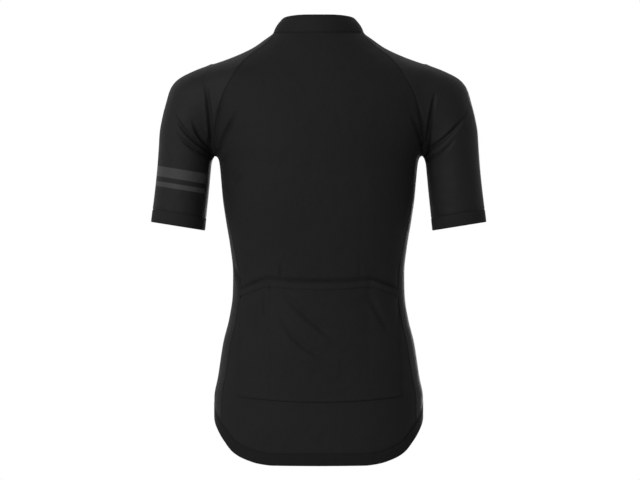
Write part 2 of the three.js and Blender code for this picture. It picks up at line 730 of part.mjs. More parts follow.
function collarRows() {
  const ends = necklineLine.length - 1;
  const outwards = necklineLine.map((p) => point(p.x, p.y - NECKLINE.centreY, 0).normalize());
  return Array.from({ length: GRID.collarRows + 1 }, (_, r) => necklineLine.map((p, i) => {
    if (r === 0) return p;
    const angle = angleOf(p);
    const rise = roundNeck(COLLAR_RISE, angle) * (r / GRID.collarRows);
    const lean = roundNeck(COLLAR_LEAN, angle);
    const slope = i === 0 || i === ends ? point(0, outwards[i].y, 0) : outwards[i];
    return p.clone().add(point(0, 0, rise)).addScaledVector(slope, -rise * lean);
  }));
}

const collarGrid = collarRows();

// The outward direction of the collar at one of its points
function collarNormal(p) {
  let best = { distance: Infinity };
  collarGrid.forEach((row, r) => row.forEach((q, c) => {
    const distance = q.distanceToSquared(p);
    if (distance < best.distance) best = { distance, r, c };
  }));
  const { r, c } = best;
  const ends = necklineLine.length - 1;
  const row = collarGrid[r];
  const along = row[Math.min(c + 1, ends)].clone().sub(row[Math.max(c - 1, 0)]);
  const up = collarGrid[GRID.collarRows][c].clone().sub(collarGrid[0][c]);
  if (c === 0 || c === ends) along.setZ(0).setY(0);
  return up.cross(along).normalize();
}

// The pockets lie on the back panel. Their last two rows edge the binding
const pocketRows = (() => {
  const rows = GRID.pocketRows;
  return Array.from({ length: rows + 2 }, (_, r) => Array.from({ length: GRID.pocketColumns + 1 }, (_, c) => {
    const even = (c / GRID.pocketColumns) * 2 - 1;
    const across = mix(even, Math.sin((even * Math.PI) / 2), COLUMN_CROWD);
    const x = mix(POCKET.halfBottom, POCKET.halfTop, Math.min(r / rows, 1)) * across;
    const mouth = pocketMouth.z(Math.abs(x));
    const bottom = POCKET.bottomZ + POCKET.bottomRise * across ** 2;
    return behind(x, r > rows ? mouth : mix(bottom, mouth - POCKET.binding, r / rows));
  }));
})();

// The pockets stand off the back a little at their mouths, between the seams that hold them
function pocketLift(p) {
  const across = Math.abs(p.x);
  const centrePocket = Math.cos((Math.min(across, POCKET.division) / POCKET.division) * (Math.PI / 2));
  const sideShare = (across - POCKET.division) / (POCKET.halfTop - POCKET.division);
  const sidePocket = Math.sin(clamp(sideShare, 0, 1) * Math.PI);
  const slack = across < POCKET.division ? centrePocket : sidePocket;
  const height = clamp((p.z - POCKET.bottomZ) / (POCKET_MOUTH[0].z - POCKET.bottomZ), 0, 1);
  const bridging = Math.max(0, -POCKET_LIFT.bridge * foldDepth(p));
  return POCKET_LIFT.seam + (POCKET_LIFT.mouth - POCKET_LIFT.seam) * slack * smooth(height) + bridging;
}

// The closed zip, from the hem to the top of the collar
function zipRows() {
  const body = frontRows.map((row) => row[row.length - 1]);
  const hemPart = hemBand().slice(1).reverse().map((row) => row[0]);
  const collarPart = collarGrid.slice(1).map((row) => row[0]);
  const edge = [...hemPart, ...body, ...collarPart];
  return edge.map((p) => [mirrored(p), point(0, p.y + ZIP_CROWN, p.z), p]);
}

const zipGrid = zipRows();
function zipNormal(p) {
  const i = zipGrid.findIndex((row) => Math.abs(row[1].z - p.z) < 1e-3);
  const [low, high] = [zipGrid[Math.max(i - 1, 0)][1], zipGrid[Math.min(i + 1, zipGrid.length - 1)][1]];
  return point(0, high.z - low.z, low.y - high.y).normalize();
}

const wasm = await Module();
wasm.setup();

function solidOf(geometry) {
  const together = 1e-4;
  const bare = geometry.clone();
  bare.deleteAttribute('normal');
  bare.deleteAttribute('uv');
  const merged = mergeVertices(bare, together);
  const triVerts = merged.index
    ? new Uint32Array(merged.index.array)
    : Uint32Array.from(merged.attributes.position.array, (_, i) => i);
  return new wasm.Manifold(new wasm.Mesh({
    numProp: 3,
    vertProperties: merged.attributes.position.array,
    triVerts,
  }));
}

// Joins closed geometries into one
function joined(geometries) {
  const solid = geometries.map(solidOf).reduce((a, b) => a.add(b));
  const mesh = solid.getMesh();
  const geometry = new THREE.BufferGeometry();
  geometry.setAttribute('position', new THREE.BufferAttribute(Float32Array.from(mesh.vertProperties), 3));
  geometry.setIndex(new THREE.BufferAttribute(Uint32Array.from(mesh.triVerts), 1));
  geometry.computeVertexNormals();
  return geometry;
}

// The slider sits on the zip near the top of the collar.
// Its own Y points out of the zip and its own Z up along it
const zipLine = zipGrid.map((row) => row[1]);
const zipTop = zipLine[zipLine.length - 1];
const collarFoot = zipLine[zipLine.length - 1 - GRID.collarRows];
const sliderTurn = Math.atan2(collarFoot.y - zipTop.y, zipTop.z - collarFoot.z);
const sliderSeat = zipTop.clone().lerp(collarFoot, SLIDER.belowTop / zipTop.distanceTo(collarFoot));
const pinOut = SLIDER.stand + SLIDER.thickness + PIN.height;

function placedOnZip(mesh, out = 0) {
  const place = new THREE.Group();
  place.position.copy(sliderSeat);
  place.rotation.x = sliderTurn;
  mesh.position.y = out;
  place.add(mesh);
  return place;
}

// A body that rides on the zip, with two lugs that hold the pin of the pull between them
function sliderGeometry() {
  const body = new THREE.BoxGeometry(SLIDER.width, SLIDER.thickness, SLIDER.length);
  body.translate(0, SLIDER.stand + SLIDER.thickness / 2, 0);
  const foot = SLIDER.stand + SLIDER.thickness - SLIDER.weld;
  const lugHeight = pinOut + PIN.radius + LUG.cap - foot;
  const lugs = [-1, 1].map((hand) => new THREE.BoxGeometry(LUG.width, lugHeight, LUG.length)
    .translate((hand * (LUG.gap + LUG.width)) / 2, foot + lugHeight / 2, 0));
  const pin = new THREE.CylinderGeometry(PIN.radius, PIN.radius, LUG.gap + LUG.width, PIN.sides);
  pin.rotateZ(Math.PI / 2).translate(0, pinOut, 0);
  return joined([body, ...lugs, pin]);
}

// The pull hangs from the pin: an eye, and a tab that widens to a round end.
// Its own origin is the middle of the pin
function pullGeometry() {
  const ring = new THREE.Shape().absarc(0, 0, PULL.eye, 0, 2 * Math.PI);
  ring.holes.push(new THREE.Path().absarc(0, 0, PULL.hole, 0, 2 * Math.PI));
  const round = { bevelEnabled: false, curveSegments: PULL.curveSteps };
  const eye = new THREE.ExtrudeGeometry(ring, { ...round, depth: PULL.neck });
  eye.rotateY(Math.PI / 2).translate(-PULL.neck / 2, 0, 0);
  const [neck, grip] = [PULL.neck / 2, PULL.grip / 2];
  const [top, waist, end] = [-PULL.hole - PULL.weld, -PULL.waist, grip - PULL.length];
  const outline = new THREE.Shape();
  outline.moveTo(-neck, top);
  outline.lineTo(-neck, waist);
  outline.lineTo(-grip, waist - grip);
  outline.lineTo(-grip, end);
  outline.absarc(0, end, grip, Math.PI, 2 * Math.PI);
  outline.lineTo(grip, waist - grip);
  outline.lineTo(neck, waist);
  outline.lineTo(neck, top);
  const tab = new THREE.ExtrudeGeometry(outline, { ...round, depth: PULL.thickness });
  tab.rotateX(Math.PI / 2).translate(0, PULL.thickness / 2, 0);
  return joined([eye, tab]);
}

// How far the pull tips in below the pin before it rests on the front
function pullTilt() {
  const front = spread(zipLine.slice(-PULL.zipRowsBelow), GRID.fineSteps).map((p) => {
    const way = p.clone().sub(sliderSeat).applyAxisAngle(point(1, 0, 0), -sliderTurn);
    return way.sub(point(0, pinOut, 0));
  });
  const slider = point(0, -PIN.height, -SLIDER.length / 2);
  const clears = (tilt) => [...front, slider].every((p) => {
    const seen = p.clone().applyAxisAngle(point(1, 0, 0), -tilt);
    return seen.z > 0 || seen.z < -PULL.length || seen.y < -PULL.thickness / 2 - PULL.rest;
  });
  const step = PULL.tiltStep * degrees;
  let tilt = 0;
  while (clears(tilt - step)) tilt -= step;
  return tilt;
}

const jersey = new THREE.Group();
jersey.add(clothMesh('back_panel', gridLayer(backRows)));
for (const side of ['left', 'right']) {
  jersey.add(clothMesh(`front_${side}`, gridLayer(frontRows, side)));
  jersey.add(clothMesh(`side_${side}`, gridLayer(sideRows, side)));
  jersey.add(clothMesh(`sleeve_${side}`, sleeveLayer(side)));
  jersey.add(clothMesh(`cuff_${side}`, cuffLayer(side), { thick: ELASTIC, finish: ELASTIC_BLACK }));
}
jersey.add(clothMesh('hem_band', gridLayer(hemBand()), { thick: ELASTIC, finish: ELASTIC_BLACK }));
jersey.add(clothMesh('collar', gridLayer(collarGrid), {
  thick: COLLAR_CLOTH,
  normal: collarNormal,
  folded: false,
}));
jersey.add(clothMesh('pocket_panel', gridLayer(pocketRows.slice(0, -1)), {
  lift: (p) => CLOTH + pocketLift(p),
}));
jersey.add(clothMesh('pocket_binding', gridLayer(pocketRows.slice(-2)), {
  thick: ELASTIC,
  lift: (p) => ELASTIC + pocketLift(p),
  finish: ELASTIC_BLACK,
}));
jersey.add(clothMesh('zip_chain', gridLayer(zipGrid), {
  normal: zipNormal,
  folded: false,
  finish: ZIP_BLACK,
}));
jersey.add(placedOnZip(named('zip_slider', sliderGeometry(), METAL_BLACK)));
const pull = named('zip_pull', pullGeometry(), METAL_BLACK);
pull.rotation.x = pullTilt();
jersey.add(placedOnZip(pull, pinOut));

export default jersey;
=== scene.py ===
"""A short-sleeved cycling jersey in black knit, filled out as it is when worn.

The file is laid out as an add-on and is run as a script. The tables of the cut are in millimetres, as a
pattern cutter keeps them. Every mesh, and every setting that a user changes, is in metres.
"""

import functools
import math

import bmesh
import bpy
import numpy as np
from bpy.props import FloatProperty, FloatVectorProperty, IntProperty, PointerProperty
from mathutils import Matrix, Vector

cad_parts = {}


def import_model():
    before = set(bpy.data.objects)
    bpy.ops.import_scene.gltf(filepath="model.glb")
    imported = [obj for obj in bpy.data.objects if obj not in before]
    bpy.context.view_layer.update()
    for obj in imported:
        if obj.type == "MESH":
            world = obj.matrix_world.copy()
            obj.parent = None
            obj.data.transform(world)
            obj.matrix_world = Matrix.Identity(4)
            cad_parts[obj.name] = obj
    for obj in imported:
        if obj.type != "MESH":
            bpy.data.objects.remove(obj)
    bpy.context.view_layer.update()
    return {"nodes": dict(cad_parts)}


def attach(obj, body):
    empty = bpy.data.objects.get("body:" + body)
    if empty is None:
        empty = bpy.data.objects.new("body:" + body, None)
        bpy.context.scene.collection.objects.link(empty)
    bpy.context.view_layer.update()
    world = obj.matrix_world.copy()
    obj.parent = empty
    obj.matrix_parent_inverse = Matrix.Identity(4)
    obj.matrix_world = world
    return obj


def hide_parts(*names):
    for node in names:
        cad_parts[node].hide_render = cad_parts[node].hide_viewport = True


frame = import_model()

bl_info = {
    "name": "Cycling Jersey",
    "version": (1, 0, 0),
    "blender": (4, 5, 0),
    "location": "3D View > Sidebar > Jersey",
    "description": "Cuts, sews and lights a short-sleeved cycling jersey with a full zip and rear pockets",
    "category": "Object",
}

MM = 0.001
BODY = "garment"
SIDES = {"left": -1, "right": 1}


def rows(names, text):
    """A table with named columns, one line for each row."""
    keys = names.split()
    return [dict(zip(keys, map(float, line.split()))) for line in text.strip().splitlines()]


# The torso from the neck down: half width, depth behind and before the middle plane, and how square it is
TORSO = rows("z half back front power", """
    60  60    56  46  2
    12  69    61  50  2
     6  79    66  52  2
    -3  91    73  55  2
   -13  105   79  58  2
   -22  124   84  61  2
   -32  148   89  65  2
   -42  179   94  69  2
   -51  204   98  74  2
   -61  215   102 79  2.05
   -75  215   106 86  2.1
   -90  209   110 92  2.15
  -110  198   114 100 2.2
  -140  182   117 107 2.25
  -170  168   117 111 2.3
  -195  159   115 112 2.3
  -225  156   112 111 2.3
  -253  153.5 108 108 2.3
  -291  148   102 105 2.3
  -330  141.5 95  102 2.3
  -372  137   91  100 2.3
  -406  137.5 91  100 2.3
  -445  143   95  102 2.3
  -483  152.5 101 105 2.3
  -541  161.5 109 109 2.35
  -570  167   112 110 2.4
  -610  167   114 110 2.4
  -700  165   114 109 2.4
""")

# Each arm from the shoulder down: its middle, and half its size across and from back to front
ARM = rows("z centre half depth forward", """
   -46 172   4    6    0
   -52 173   22   28   0
   -61 179   38   45   0
   -68 183   43   50   0
   -75 187   45   54   0
   -90 193   47   58   0
  -109 199   47.5 59   0
  -128 204.5 46.5 58   0
  -147 209   45.4 57   1
  -176 212.5 43.7 54   2
  -205 215.2 43.2 52   4
  -243 219   43.4 50.5 7
  -282 223.5 43.8 50   11
  -330 229   44.2 50   15
""")

# How softly the arm runs into the torso
MELT = rows("z radius", """
   -40 10
   -80 24
  -120 26
  -160 18
  -190 14
  -215 6
""")

# The raglan seams, by the share of the way from the underarm to the neckline
RAGLAN = rows("share back front", """
  0    165   165
  0.09 168.5 167
  0.18 167   164
  0.35 160.5 153
  0.52 150   139
  0.69 131   119
  0.8  112   99
  0.91 84    77
""")

# The side seams, as the angle round the body from the middle of the back
SIDE_SEAMS = rows("z back front", """
  -170 85.5 95.5
  -230 82   99
  -300 77   105
  -400 72   111
  -480 71   114
  -620 71   116
""")

# The edge of the hem round the body, longest over the seat
HEM = rows("angle z", """
    0 -678.5
   34 -678
   43 -675.5
   54 -667
   61 -657.5
   69 -639
   79 -618
   90 -602
  125 -585
  180 -580
""")

# The mouths of the three pockets, drawn up at the two divisions
POCKET_MOUTH = rows("x z", """
    0 -388.5
   40 -387.5
   80 -384
  102 -391
  132 -403
""")

# Folds of the back: start, middle and end of each, how deep and how wide it is, and the depth left at its end
BACK_FOLDS = rows("x1 z1 x2 z2 x3 z3 depth width left", """
  -182  -61 -175 -112 -169 -184 6.6 3.4 1
  -145  -77 -160 -120 -166 -178 3.6 3.8 0.9
  -124 -108 -146 -146 -163 -180 6.6 3.8 1
  -203 -118 -192 -150 -171 -174 5.2 3.3 1
  -233 -108 -215 -144 -172 -180 5.2 3.4 1
  -233 -143 -209 -167 -174 -187 4.2 3.4 0.9
  -174 -152 -173 -164 -173 -176 4.4 5   1
  -141 -178 -149 -188 -156 -199 2.8 3.4 0.2
  -126 -203 -134 -212 -143 -220 2.8 3.4 0.1
  -114 -207 -127 -221 -139 -234 3   3.6 0.1
   174 -152  173 -164  173 -176 4.4 5   1
   187  -80  180 -118  171 -182 6.4 3.4 1
   143 -114  158 -145  168 -176 6   3.8 1
   151  -92  164 -128  170 -176 3.6 3.8 0.9
   238 -108  218 -142  178 -174 5.2 3.4 1
   222 -150  202 -176  176 -190 4   3.4 0.8
   -72 -390  -26 -434   24 -478 6.5 5.4 0
   -70 -408  -38 -474   18 -506 5.5 5.6 0
    72 -392   93 -434  114 -470 5.5 5   0
   -60 -352  -60 -366  -59 -380 2.4 3.4 0.3
  -136 -355 -130 -374 -122 -394 3.6 3   0.2
  -108 -398 -110 -428 -106 -462 3.2 3   0
   -97 -396  -98 -436  -95 -476 3.4 3   0
   -84 -394  -86 -420  -83 -448 3   2.8 0
    64 -350   66 -364   66 -380 1.2 4   0.3
   124 -340  127 -400  126 -470 1.2 4   0
""")

# Folds of the front, with the short ripples that a zip draws up beside it
FRONT_FOLDS = rows("x1 z1 x2 z2 x3 z3 depth width left", """
  -140  -96 -155 -136 -166 -176 3.4 3.8 0.9
  -122 -124 -146 -154 -165 -178 3.8 3.4 0.9
  -226 -114 -210 -148 -180 -180 3.8 3.6 1
  -220 -146 -204 -168 -181 -184 3.2 3.4 0.8
   136 -100  153 -138  166 -176 3.4 3.8 0.9
   120 -128  145 -157  165 -179 3.6 3.4 0.9
   228 -112  212 -146  180 -179 4   3.6 1
   216 -150  202 -170  182 -185 3   3.4 0.8
  -112 -324  -84 -366  -38 -396 2   9   0
   106 -318   80 -360   30 -398 2.2 9   0
   -34 -120  -18 -124   -5 -122 0.8 7   0.7
    30 -148   16 -151    5 -150 0.7 7   0.7
   -28 -206  -16 -209   -5 -207 0.6 7   0.7
    36 -238   18 -243    5 -240 0.9 8   0.7
   -40 -292  -20 -297   -5 -294 0.9 8   0.7
    28 -330   16 -333    5 -331 0.7 7   0.7
   -30 -372  -18 -376   -5 -374 0.8 7   0.7
    38 -426   20 -430    5 -427 0.9 8   0.7
   -34 -470  -18 -473   -5 -471 0.7 8   0.7
    26 -520   15 -523    5 -521 0.6 7   0.7
""")

# How folds widen and fade in from their tip, fade out to their end, and where the body turns them away from a face
FOLD_FORM = {
    "fade_in": 0.6, "tip": 0.8, "fade_out": 0.25, "side_rise": 0.9, "facing": 12, "reach": 3.2, "steps": 16,
    "deepest": 8, "parting": 1.2,
}

COLLAR_RISE = {"back": 28, "side": 25, "front": 30}
COLLAR_LEAN = {"back": 0.2, "side": 0.66, "front": 0.3}
COLLAR_TURNS = {"back": 20, "side": 90, "front": 170}
COLLAR_CROWN = {"front": 0.8, "side": 2.8}
COLLAR_TUCK = 1.3
CUFF = {"outer": -291, "inner": -305, "depth": 20}
HEM_BAND_DEPTH = 18
ZIP_HALF_WIDTH = 4.5
UNDERARM = {"x": 166, "y": 1, "half_width": 13, "below": -225, "turn": math.radians(161)}
NECKLINE = {"back": 11.5, "front": -42, "drop_from": 85, "sleeve_from": 73, "sleeve_to": 118, "centre": 3}
POCKET = {"half_top": 126, "half_bottom": 130, "bottom": -577, "bottom_rise": 9, "binding": 10.5, "division": 78}
SIDE_SEAM_BENDS = -240
SHOULDER = {"x": 140, "z": -118, "from": -22, "arch_from": 0.4, "arch_over": 0.35}
HEM_TAPER_TURN = 3

# How finely the cloth is divided, and how far from each seam its first two lines lie
GRID = {
    "body_rows": 150, "raglan_rows": 112, "back_columns": 140, "front_columns": 46, "side_columns": 16,
    "sleeve_columns": 156, "sleeve_rows": 40, "collar_rows": 12, "band_rows": 6, "pocket_columns": 110,
    "pocket_rows": 62, "fine": 120,
}
SEAM_LINES = (1.3, 3.8)
COLUMN_CROWD = 0.45
RAGLAN_CROWD = 1.2

# Thickness of each cloth and how proud of the figure its outer face lies
KNIT = 1.1
DOUBLE_KNIT = 1.8
ELASTIC = {"thick": 1.5, "proud": 0.25}
POCKET_CLOTH = {"thick": 0.7, "seam": 0.95, "mouth": 3.7, "bridge": 0.4, "turned": 0.7, "turned_width": 7}
BINDING = {"thick": 1.1, "proud": 0.7}
MOUTH_GROOVE = {"above": 2.2, "width": 3.2, "depth": 2.4}
SEAM_LAP = 0.1
SEAM_DIP = 0.8

# The zip: its lines across, the channel for the coil and how deep it lies, and how far in the coil's middle is
ZIP = {"tape_lines": (1.15, 1.3, 2.8, 4.2, 4.8), "channel": 1.2, "sunk": 0.5, "thick": 1.0, "coil_sunk": 0.35}

# How the solids of the slider and its pull are rounded: distances in millimetres, angles in degrees
ROUNDING = {"merge": 0.01, "flat": 1, "sharp": 32, "offset": 0.14}

# Where the lights stand and how wide they are, in metres
KEY_LIGHT = {"place": (-2.1, -2.9, 0.9), "size": 1.5}
FILL_LIGHT = {"place": (0.5, 3.6, -0.5), "size": 1.6}


def mix(a, b, share):
    """The value a share of the way from a to b."""
    return a + (b - a) * share


def smooth(share):
    """A share that starts and ends gently."""
    t = np.clip(share, 0, 1)
    return t * t * (3 - 2 * t)


def unit(vectors):
    """The same directions with length 1."""
    return vectors / np.linalg.norm(vectors, axis=-1, keepdims=True)


def column(table, key, name):
    """A smooth curve through one column of a table, which never overshoots its rows."""
    ordered = sorted(table, key=lambda row: row[key])
    at = np.array([row[key] for row in ordered])
    value = np.array([row[name] for row in ordered])
    slope = np.diff(value) / np.diff(at)
    before, after = slope[:-1], slope[1:]
    level = before * after <= 0
    inner = np.where(level, 0, 2 * before * after / np.where(level, 1, before + after))
    tangent = np.concatenate([slope[:1], inner, slope[-1:]])

    def curve(x):
        x = np.clip(np.asarray(x, float), at[0], at[-1])
        i = np.clip(np.searchsorted(at, x, side="right") - 1, 0, len(at) - 2)
        width = at[i + 1] - at[i]
        t = (x - at[i]) / width
        t2, t3 = t * t, t * t * t
        return (
            (2 * t3 - 3 * t2 + 1) * value[i] + (t3 - 2 * t2 + t) * width * tangent[i]
            + (3 * t2 - 2 * t3) * value[i + 1] + (t3 - t2) * width * tangent[i + 1]
        )

    return curve


def softened(values):
    """Values at even steps, with their bends rounded."""
    reach = BEND_STEPS
    weights = np.hanning(2 * reach + 3)[1:-1]
    return np.convolve(np.pad(values, reach, mode="edge"), weights / weights.sum(), mode="valid")


SECTION = {
    **{name: column(TORSO, "z", name) for name in ("half", "back", "front", "power")},
    **{f"arm_{name}": column(ARM, "z", name) for name in ("centre", "half", "depth", "forward")},
    "melt": column(MELT, "z", "radius"),
}
LEVELS = np.arange(-720, 81, 0.25)
LEVEL_STEP = LEVELS[1] - LEVELS[0]
BEND_STEPS = 48
SECTIONS = np.stack([softened(curve(LEVELS)) for curve in SECTION.values()], axis=-1)
ARM_TOP = ARM[0]["z"]
SEAM = {name: column(SIDE_SEAMS, "z", name) for name in ("back", "front")}
HEM_Z = column(HEM, "angle", "z")
MOUTH_Z = column(POCKET_MOUTH, "x", "z")


def sections(z):
    """Every column of the torso and the arm at each height."""
    place = np.clip((z - LEVELS[0]) / LEVEL_STEP, 0, len(LEVELS) - 1.001)
    low = place.astype(int)
    share = (place - low)[..., None]
    both = SECTIONS[low] * (1 - share) + SECTIONS[low + 1] * share
    return [both[..., i] for i in range(both.shape[-1])]


def figure(p):
    """Below 0 inside the worn form, above 0 outside it."""
    x, y, z = p[..., 0], p[..., 1], p[..., 2]
    half, back, front, power, centre, arm_half, arm_depth, forward, radius = sections(z)
    deep = np.where(y < 0, back, front)
    around = (np.abs(x / half) ** power + np.abs(y / deep) ** power) ** (1 / power)
    body = (around - 1) * np.minimum(half, deep)
    across = (np.abs(x) - centre) / arm_half
    limb = (np.hypot(across, (y - forward) / arm_depth) - 1) * arm_half + np.maximum(0, z - ARM_TOP)
    near = np.maximum(radius - np.abs(body - limb), 0) / radius
    return np.minimum(body, limb) - near * near * radius / 4


def slope_at(p, step):
    """How fast the figure's value grows along each axis."""
    grow = [figure(p + way) - figure(p - way) for way in np.eye(3) * step]
    return np.stack(grow, axis=-1) / (2 * step)


def figure_normals(p):
    """The outward directions at points of the figure."""
    return unit(slope_at(p, 0.6))


def settle(p, rounds=8):
    """The nearest places on the figure to points close to it."""
    at = np.array(p, float)
    for _ in range(rounds):
        slope = slope_at(at, 0.05)
        step = np.clip(-figure(at) / np.sum(slope * slope, axis=-1), -4, 4)
        at += slope * step[..., None]
    return at


def meet(start, way, entering=False):
    """The first places where straight ways leave the figure, or enter it."""
    start, way = np.broadcast_arrays(np.asarray(start, float), np.asarray(way, float))
    steps = np.arange(0, 400, 3.0)
    tested = figure(start[..., None, :] + steps[:, None] * way[..., None, :]) < 0
    first = np.argmax((tested == entering)[..., 1:], axis=-1) + 1
    near, far = steps[first - 1], steps[first]
    for _ in range(24):
        middle = (near + far) / 2
        there = (figure(start + middle[..., None] * way) < 0) == entering
        near, far = np.where(there, near, middle), np.where(there, middle, far)
    return start + far[..., None] * way


def body_point(angle, z):
    """Points of the body at angles round it, 0 in the middle of the back and 180 in the middle of the front."""
    angle, z = np.broadcast_arrays(np.asarray(angle, float), np.asarray(z, float))
    across, along = np.sin(np.radians(angle)), -np.cos(np.radians(angle))
    half, back, front, power = sections(z)[:4]
    deep = np.where(along < 0, back, front)
    reach = (np.abs(across / half) ** power + np.abs(along / deep) ** power) ** (-1 / power)
    return settle(np.stack([across * reach, along * reach, z], axis=-1))


def angle_of(p):
    """The angle of points round the body."""
    return np.degrees(np.arctan2(p[..., 0], -p[..., 1]))


def level_points(x, z):
    """Points in the middle plane, x across and z up."""
    x, z = np.broadcast_arrays(np.asarray(x, float), np.asarray(z, float))
    return np.stack([x, np.zeros_like(x), z], axis=-1)


def behind(x, z):
    """Points on the back of the figure."""
    return meet(level_points(x, z), (0, -1, 0))


def before(x, z):
    """Points on the front of the figure."""
    return meet(level_points(x, z), (0, 1, 0))


def neckline_z(angle):
    """The height of the neckline at an angle round the neck."""
    start = NECKLINE["drop_from"]
    return mix(NECKLINE["back"], NECKLINE["front"], smooth((np.abs(angle) - start) / (180 - start)))


def hem_edge_z(angle):
    """The height of the hem's edge at an angle round the body."""
    return HEM_Z(np.abs(angle))


def hem_top_z(angle):
    """The upper edge of the hem band, which keeps its depth where the hem slopes."""
    a = body_point(angle - HEM_TAPER_TURN, hem_edge_z(angle - HEM_TAPER_TURN))
    b = body_point(angle + HEM_TAPER_TURN, hem_edge_z(angle + HEM_TAPER_TURN))
    slope = (b[..., 2] - a[..., 2]) / np.hypot(b[..., 0] - a[..., 0], b[..., 1] - a[..., 1])
    return hem_edge_z(angle) + HEM_BAND_DEPTH * np.hypot(1, slope)


def lengths_along(line):
    """The distance along a line at each of its points."""
    steps = np.linalg.norm(np.diff(line, axis=0), axis=-1)
    return np.concatenate([[0], np.cumsum(steps)])


def shares_of(length, count, crowd=0, insets=()):
    """Shares along a line: closer towards both ends if it is crowded, after lines at the insets from each end."""
    even = np.linspace(0, 1, count + 1)
    inner = mix(even, (1 - np.cos(np.pi * even)) / 2, crowd)
    edge = max(insets, default=0) / length
    start = [inset / length for inset in (0, *insets)][:-1] if insets else []
    return np.concatenate([start, mix(edge, 1 - edge, inner), [1 - share for share in reversed(start)]])


def spread(line, shares):
    """Points at those shares of a line's length."""
    along = lengths_along(line)
    return np.stack([np.interp(shares * along[-1], along, line[:, i]) for i in range(3)], axis=-1)


def surface_rows(guides, first, last, count, crowd=0, insets=SEAM_LINES):
    """Rows along the figure from one line of seam points to another, near their guides."""
    share = np.linspace(0, 1, guides.shape[1])
    pull = 0.4
    start = (1 - smooth(share / pull))[None, :, None]
    end = (1 - smooth((1 - share) / pull))[None, :, None]
    lines = settle(guides + (first - guides[:, 0])[:, None] * start + (last - guides[:, -1])[:, None] * end)
    lines[:, 0], lines[:, -1] = first, last
    made = []
    for line in lines:
        made.append(spread(line, shares_of(lengths_along(line)[-1], count, crowd, insets)))
    grid = settle(np.array(made))
    grid[:, 0], grid[:, -1] = first, last
    return grid


def body_rows(first, last, heights, count, crowd=0, insets=SEAM_LINES):
    """Rows round the body between two lines of seam points, at given heights."""
    share = np.linspace(0, 1, GRID["fine"] + 1)
    angle = mix(angle_of(first)[:, None], angle_of(last)[:, None], share)
    return surface_rows(body_point(angle, heights), first, last, count, crowd, insets)


def mirrored(p):
    """Points on the other side of the middle plane."""
    return p * np.array([-1, 1, 1])


def up_shares(length, count):
    """Shares up a panel, with the two lines of a seam at each end."""
    return shares_of(length, count, 0, SEAM_LINES)


@functools.cache
def seams():
    """The seams that the panels share, on the wearer's right."""
    across = np.linspace(-1, 1, GRID["side_columns"] + 2 * len(SEAM_LINES) + 1)
    y = UNDERARM["y"] + UNDERARM["half_width"] * across
    below = np.stack([np.full_like(y, UNDERARM["x"]), y, np.full_like(y, UNDERARM["below"])], axis=-1)
    underarm = meet(below, (0, 0, 1), True)
    neck_back, neck_front = (
        body_point(angle, neckline_z(angle)) for angle in (NECKLINE["sleeve_from"], NECKLINE["sleeve_to"])
    )
    ends = {"share": 1, "back": neck_back[0], "front": neck_front[0]}
    lines = {"underarm": underarm}
    shares = up_shares(250, GRID["raglan_rows"]) ** RAGLAN_CROWD
    lines["shares"] = shares
    lines["up"] = up_shares(430, GRID["body_rows"])
    for name, edge, neck, find in (
        ("back", underarm[0], neck_back, behind),
        ("front", underarm[-1], neck_front, before),
    ):
        line = find(column([*RAGLAN, ends], "share", name)(shares), mix(edge[2], neck[2], shares))
        line[0], line[-1] = edge, neck
        lines[f"raglan_{name}"] = line
        top_angle = angle_of(edge)
        bottom = float(hem_top_z(np.array(SEAM[name](HEM[0]["z"]))))
        z = mix(bottom, edge[2], lines["up"])
        bend = smooth((z - SIDE_SEAM_BENDS) / (edge[2] - SIDE_SEAM_BENDS))
        side = body_point(mix(SEAM[name](z), top_angle, bend), z)
        side[-1] = edge
        lines[f"side_{name}"] = side
    return lines


@functools.cache
def back_rows():
    """The back panel, from the hem band to the neckline."""
    seam = seams()
    side, raglan = seam["side_back"][:-1], seam["raglan_back"]
    share = np.linspace(-1, 1, GRID["fine"] + 1)
    hem = hem_top_z(angle_of(side[0]) * share)
    low = mix(hem[None], raglan[0, 2], seam["up"][:-1, None])
    lower = body_rows(mirrored(side), side, low, GRID["back_columns"], COLUMN_CROWD)
    high = np.repeat(raglan[:, 2:], GRID["fine"] + 1, axis=1)
    upper = body_rows(mirrored(raglan), raglan, high, GRID["back_columns"], COLUMN_CROWD)
    return np.concatenate([lower, upper])


@functools.cache
def front_rows():
    """The wearer's right front, from its side to the zip."""
    seam = seams()
    side, raglan = seam["side_front"][:-1], seam["raglan_front"]
    share = np.linspace(0, 1, GRID["fine"] + 1)
    hem = hem_top_z(mix(angle_of(side[0]), 180, share))
    low = mix(hem[None], raglan[0, 2], seam["up"][:-1, None])
    neck = neckline_z(mix(NECKLINE["sleeve_to"], 180, share))
    high = mix(raglan[0, 2], neck[None], seam["shares"][:, None])
    parts = [
        body_rows(edge, before(ZIP_HALF_WIDTH, heights[:, -1]), heights, GRID["front_columns"])
        for edge, heights in ((side, low), (raglan, high))
    ]
    return np.concatenate(parts)


@functools.cache
def side_rows():
    """The wearer's right side panel, from its back seam to its front seam."""
    seam = seams()
    back, front = seam["side_back"][:-1], seam["side_front"][:-1]
    share = np.linspace(0, 1, GRID["fine"] + 1)
    hem = hem_top_z(mix(angle_of(back[0]), angle_of(front[0]), share))
    top = mix(seam["underarm"][0, 2], seam["underarm"][-1, 2], share)
    heights = mix(hem[None], top[None], seam["up"][:-1, None])
    lower = body_rows(back, front, heights, GRID["side_columns"])
    return np.concatenate([lower, seam["underarm"][None]])


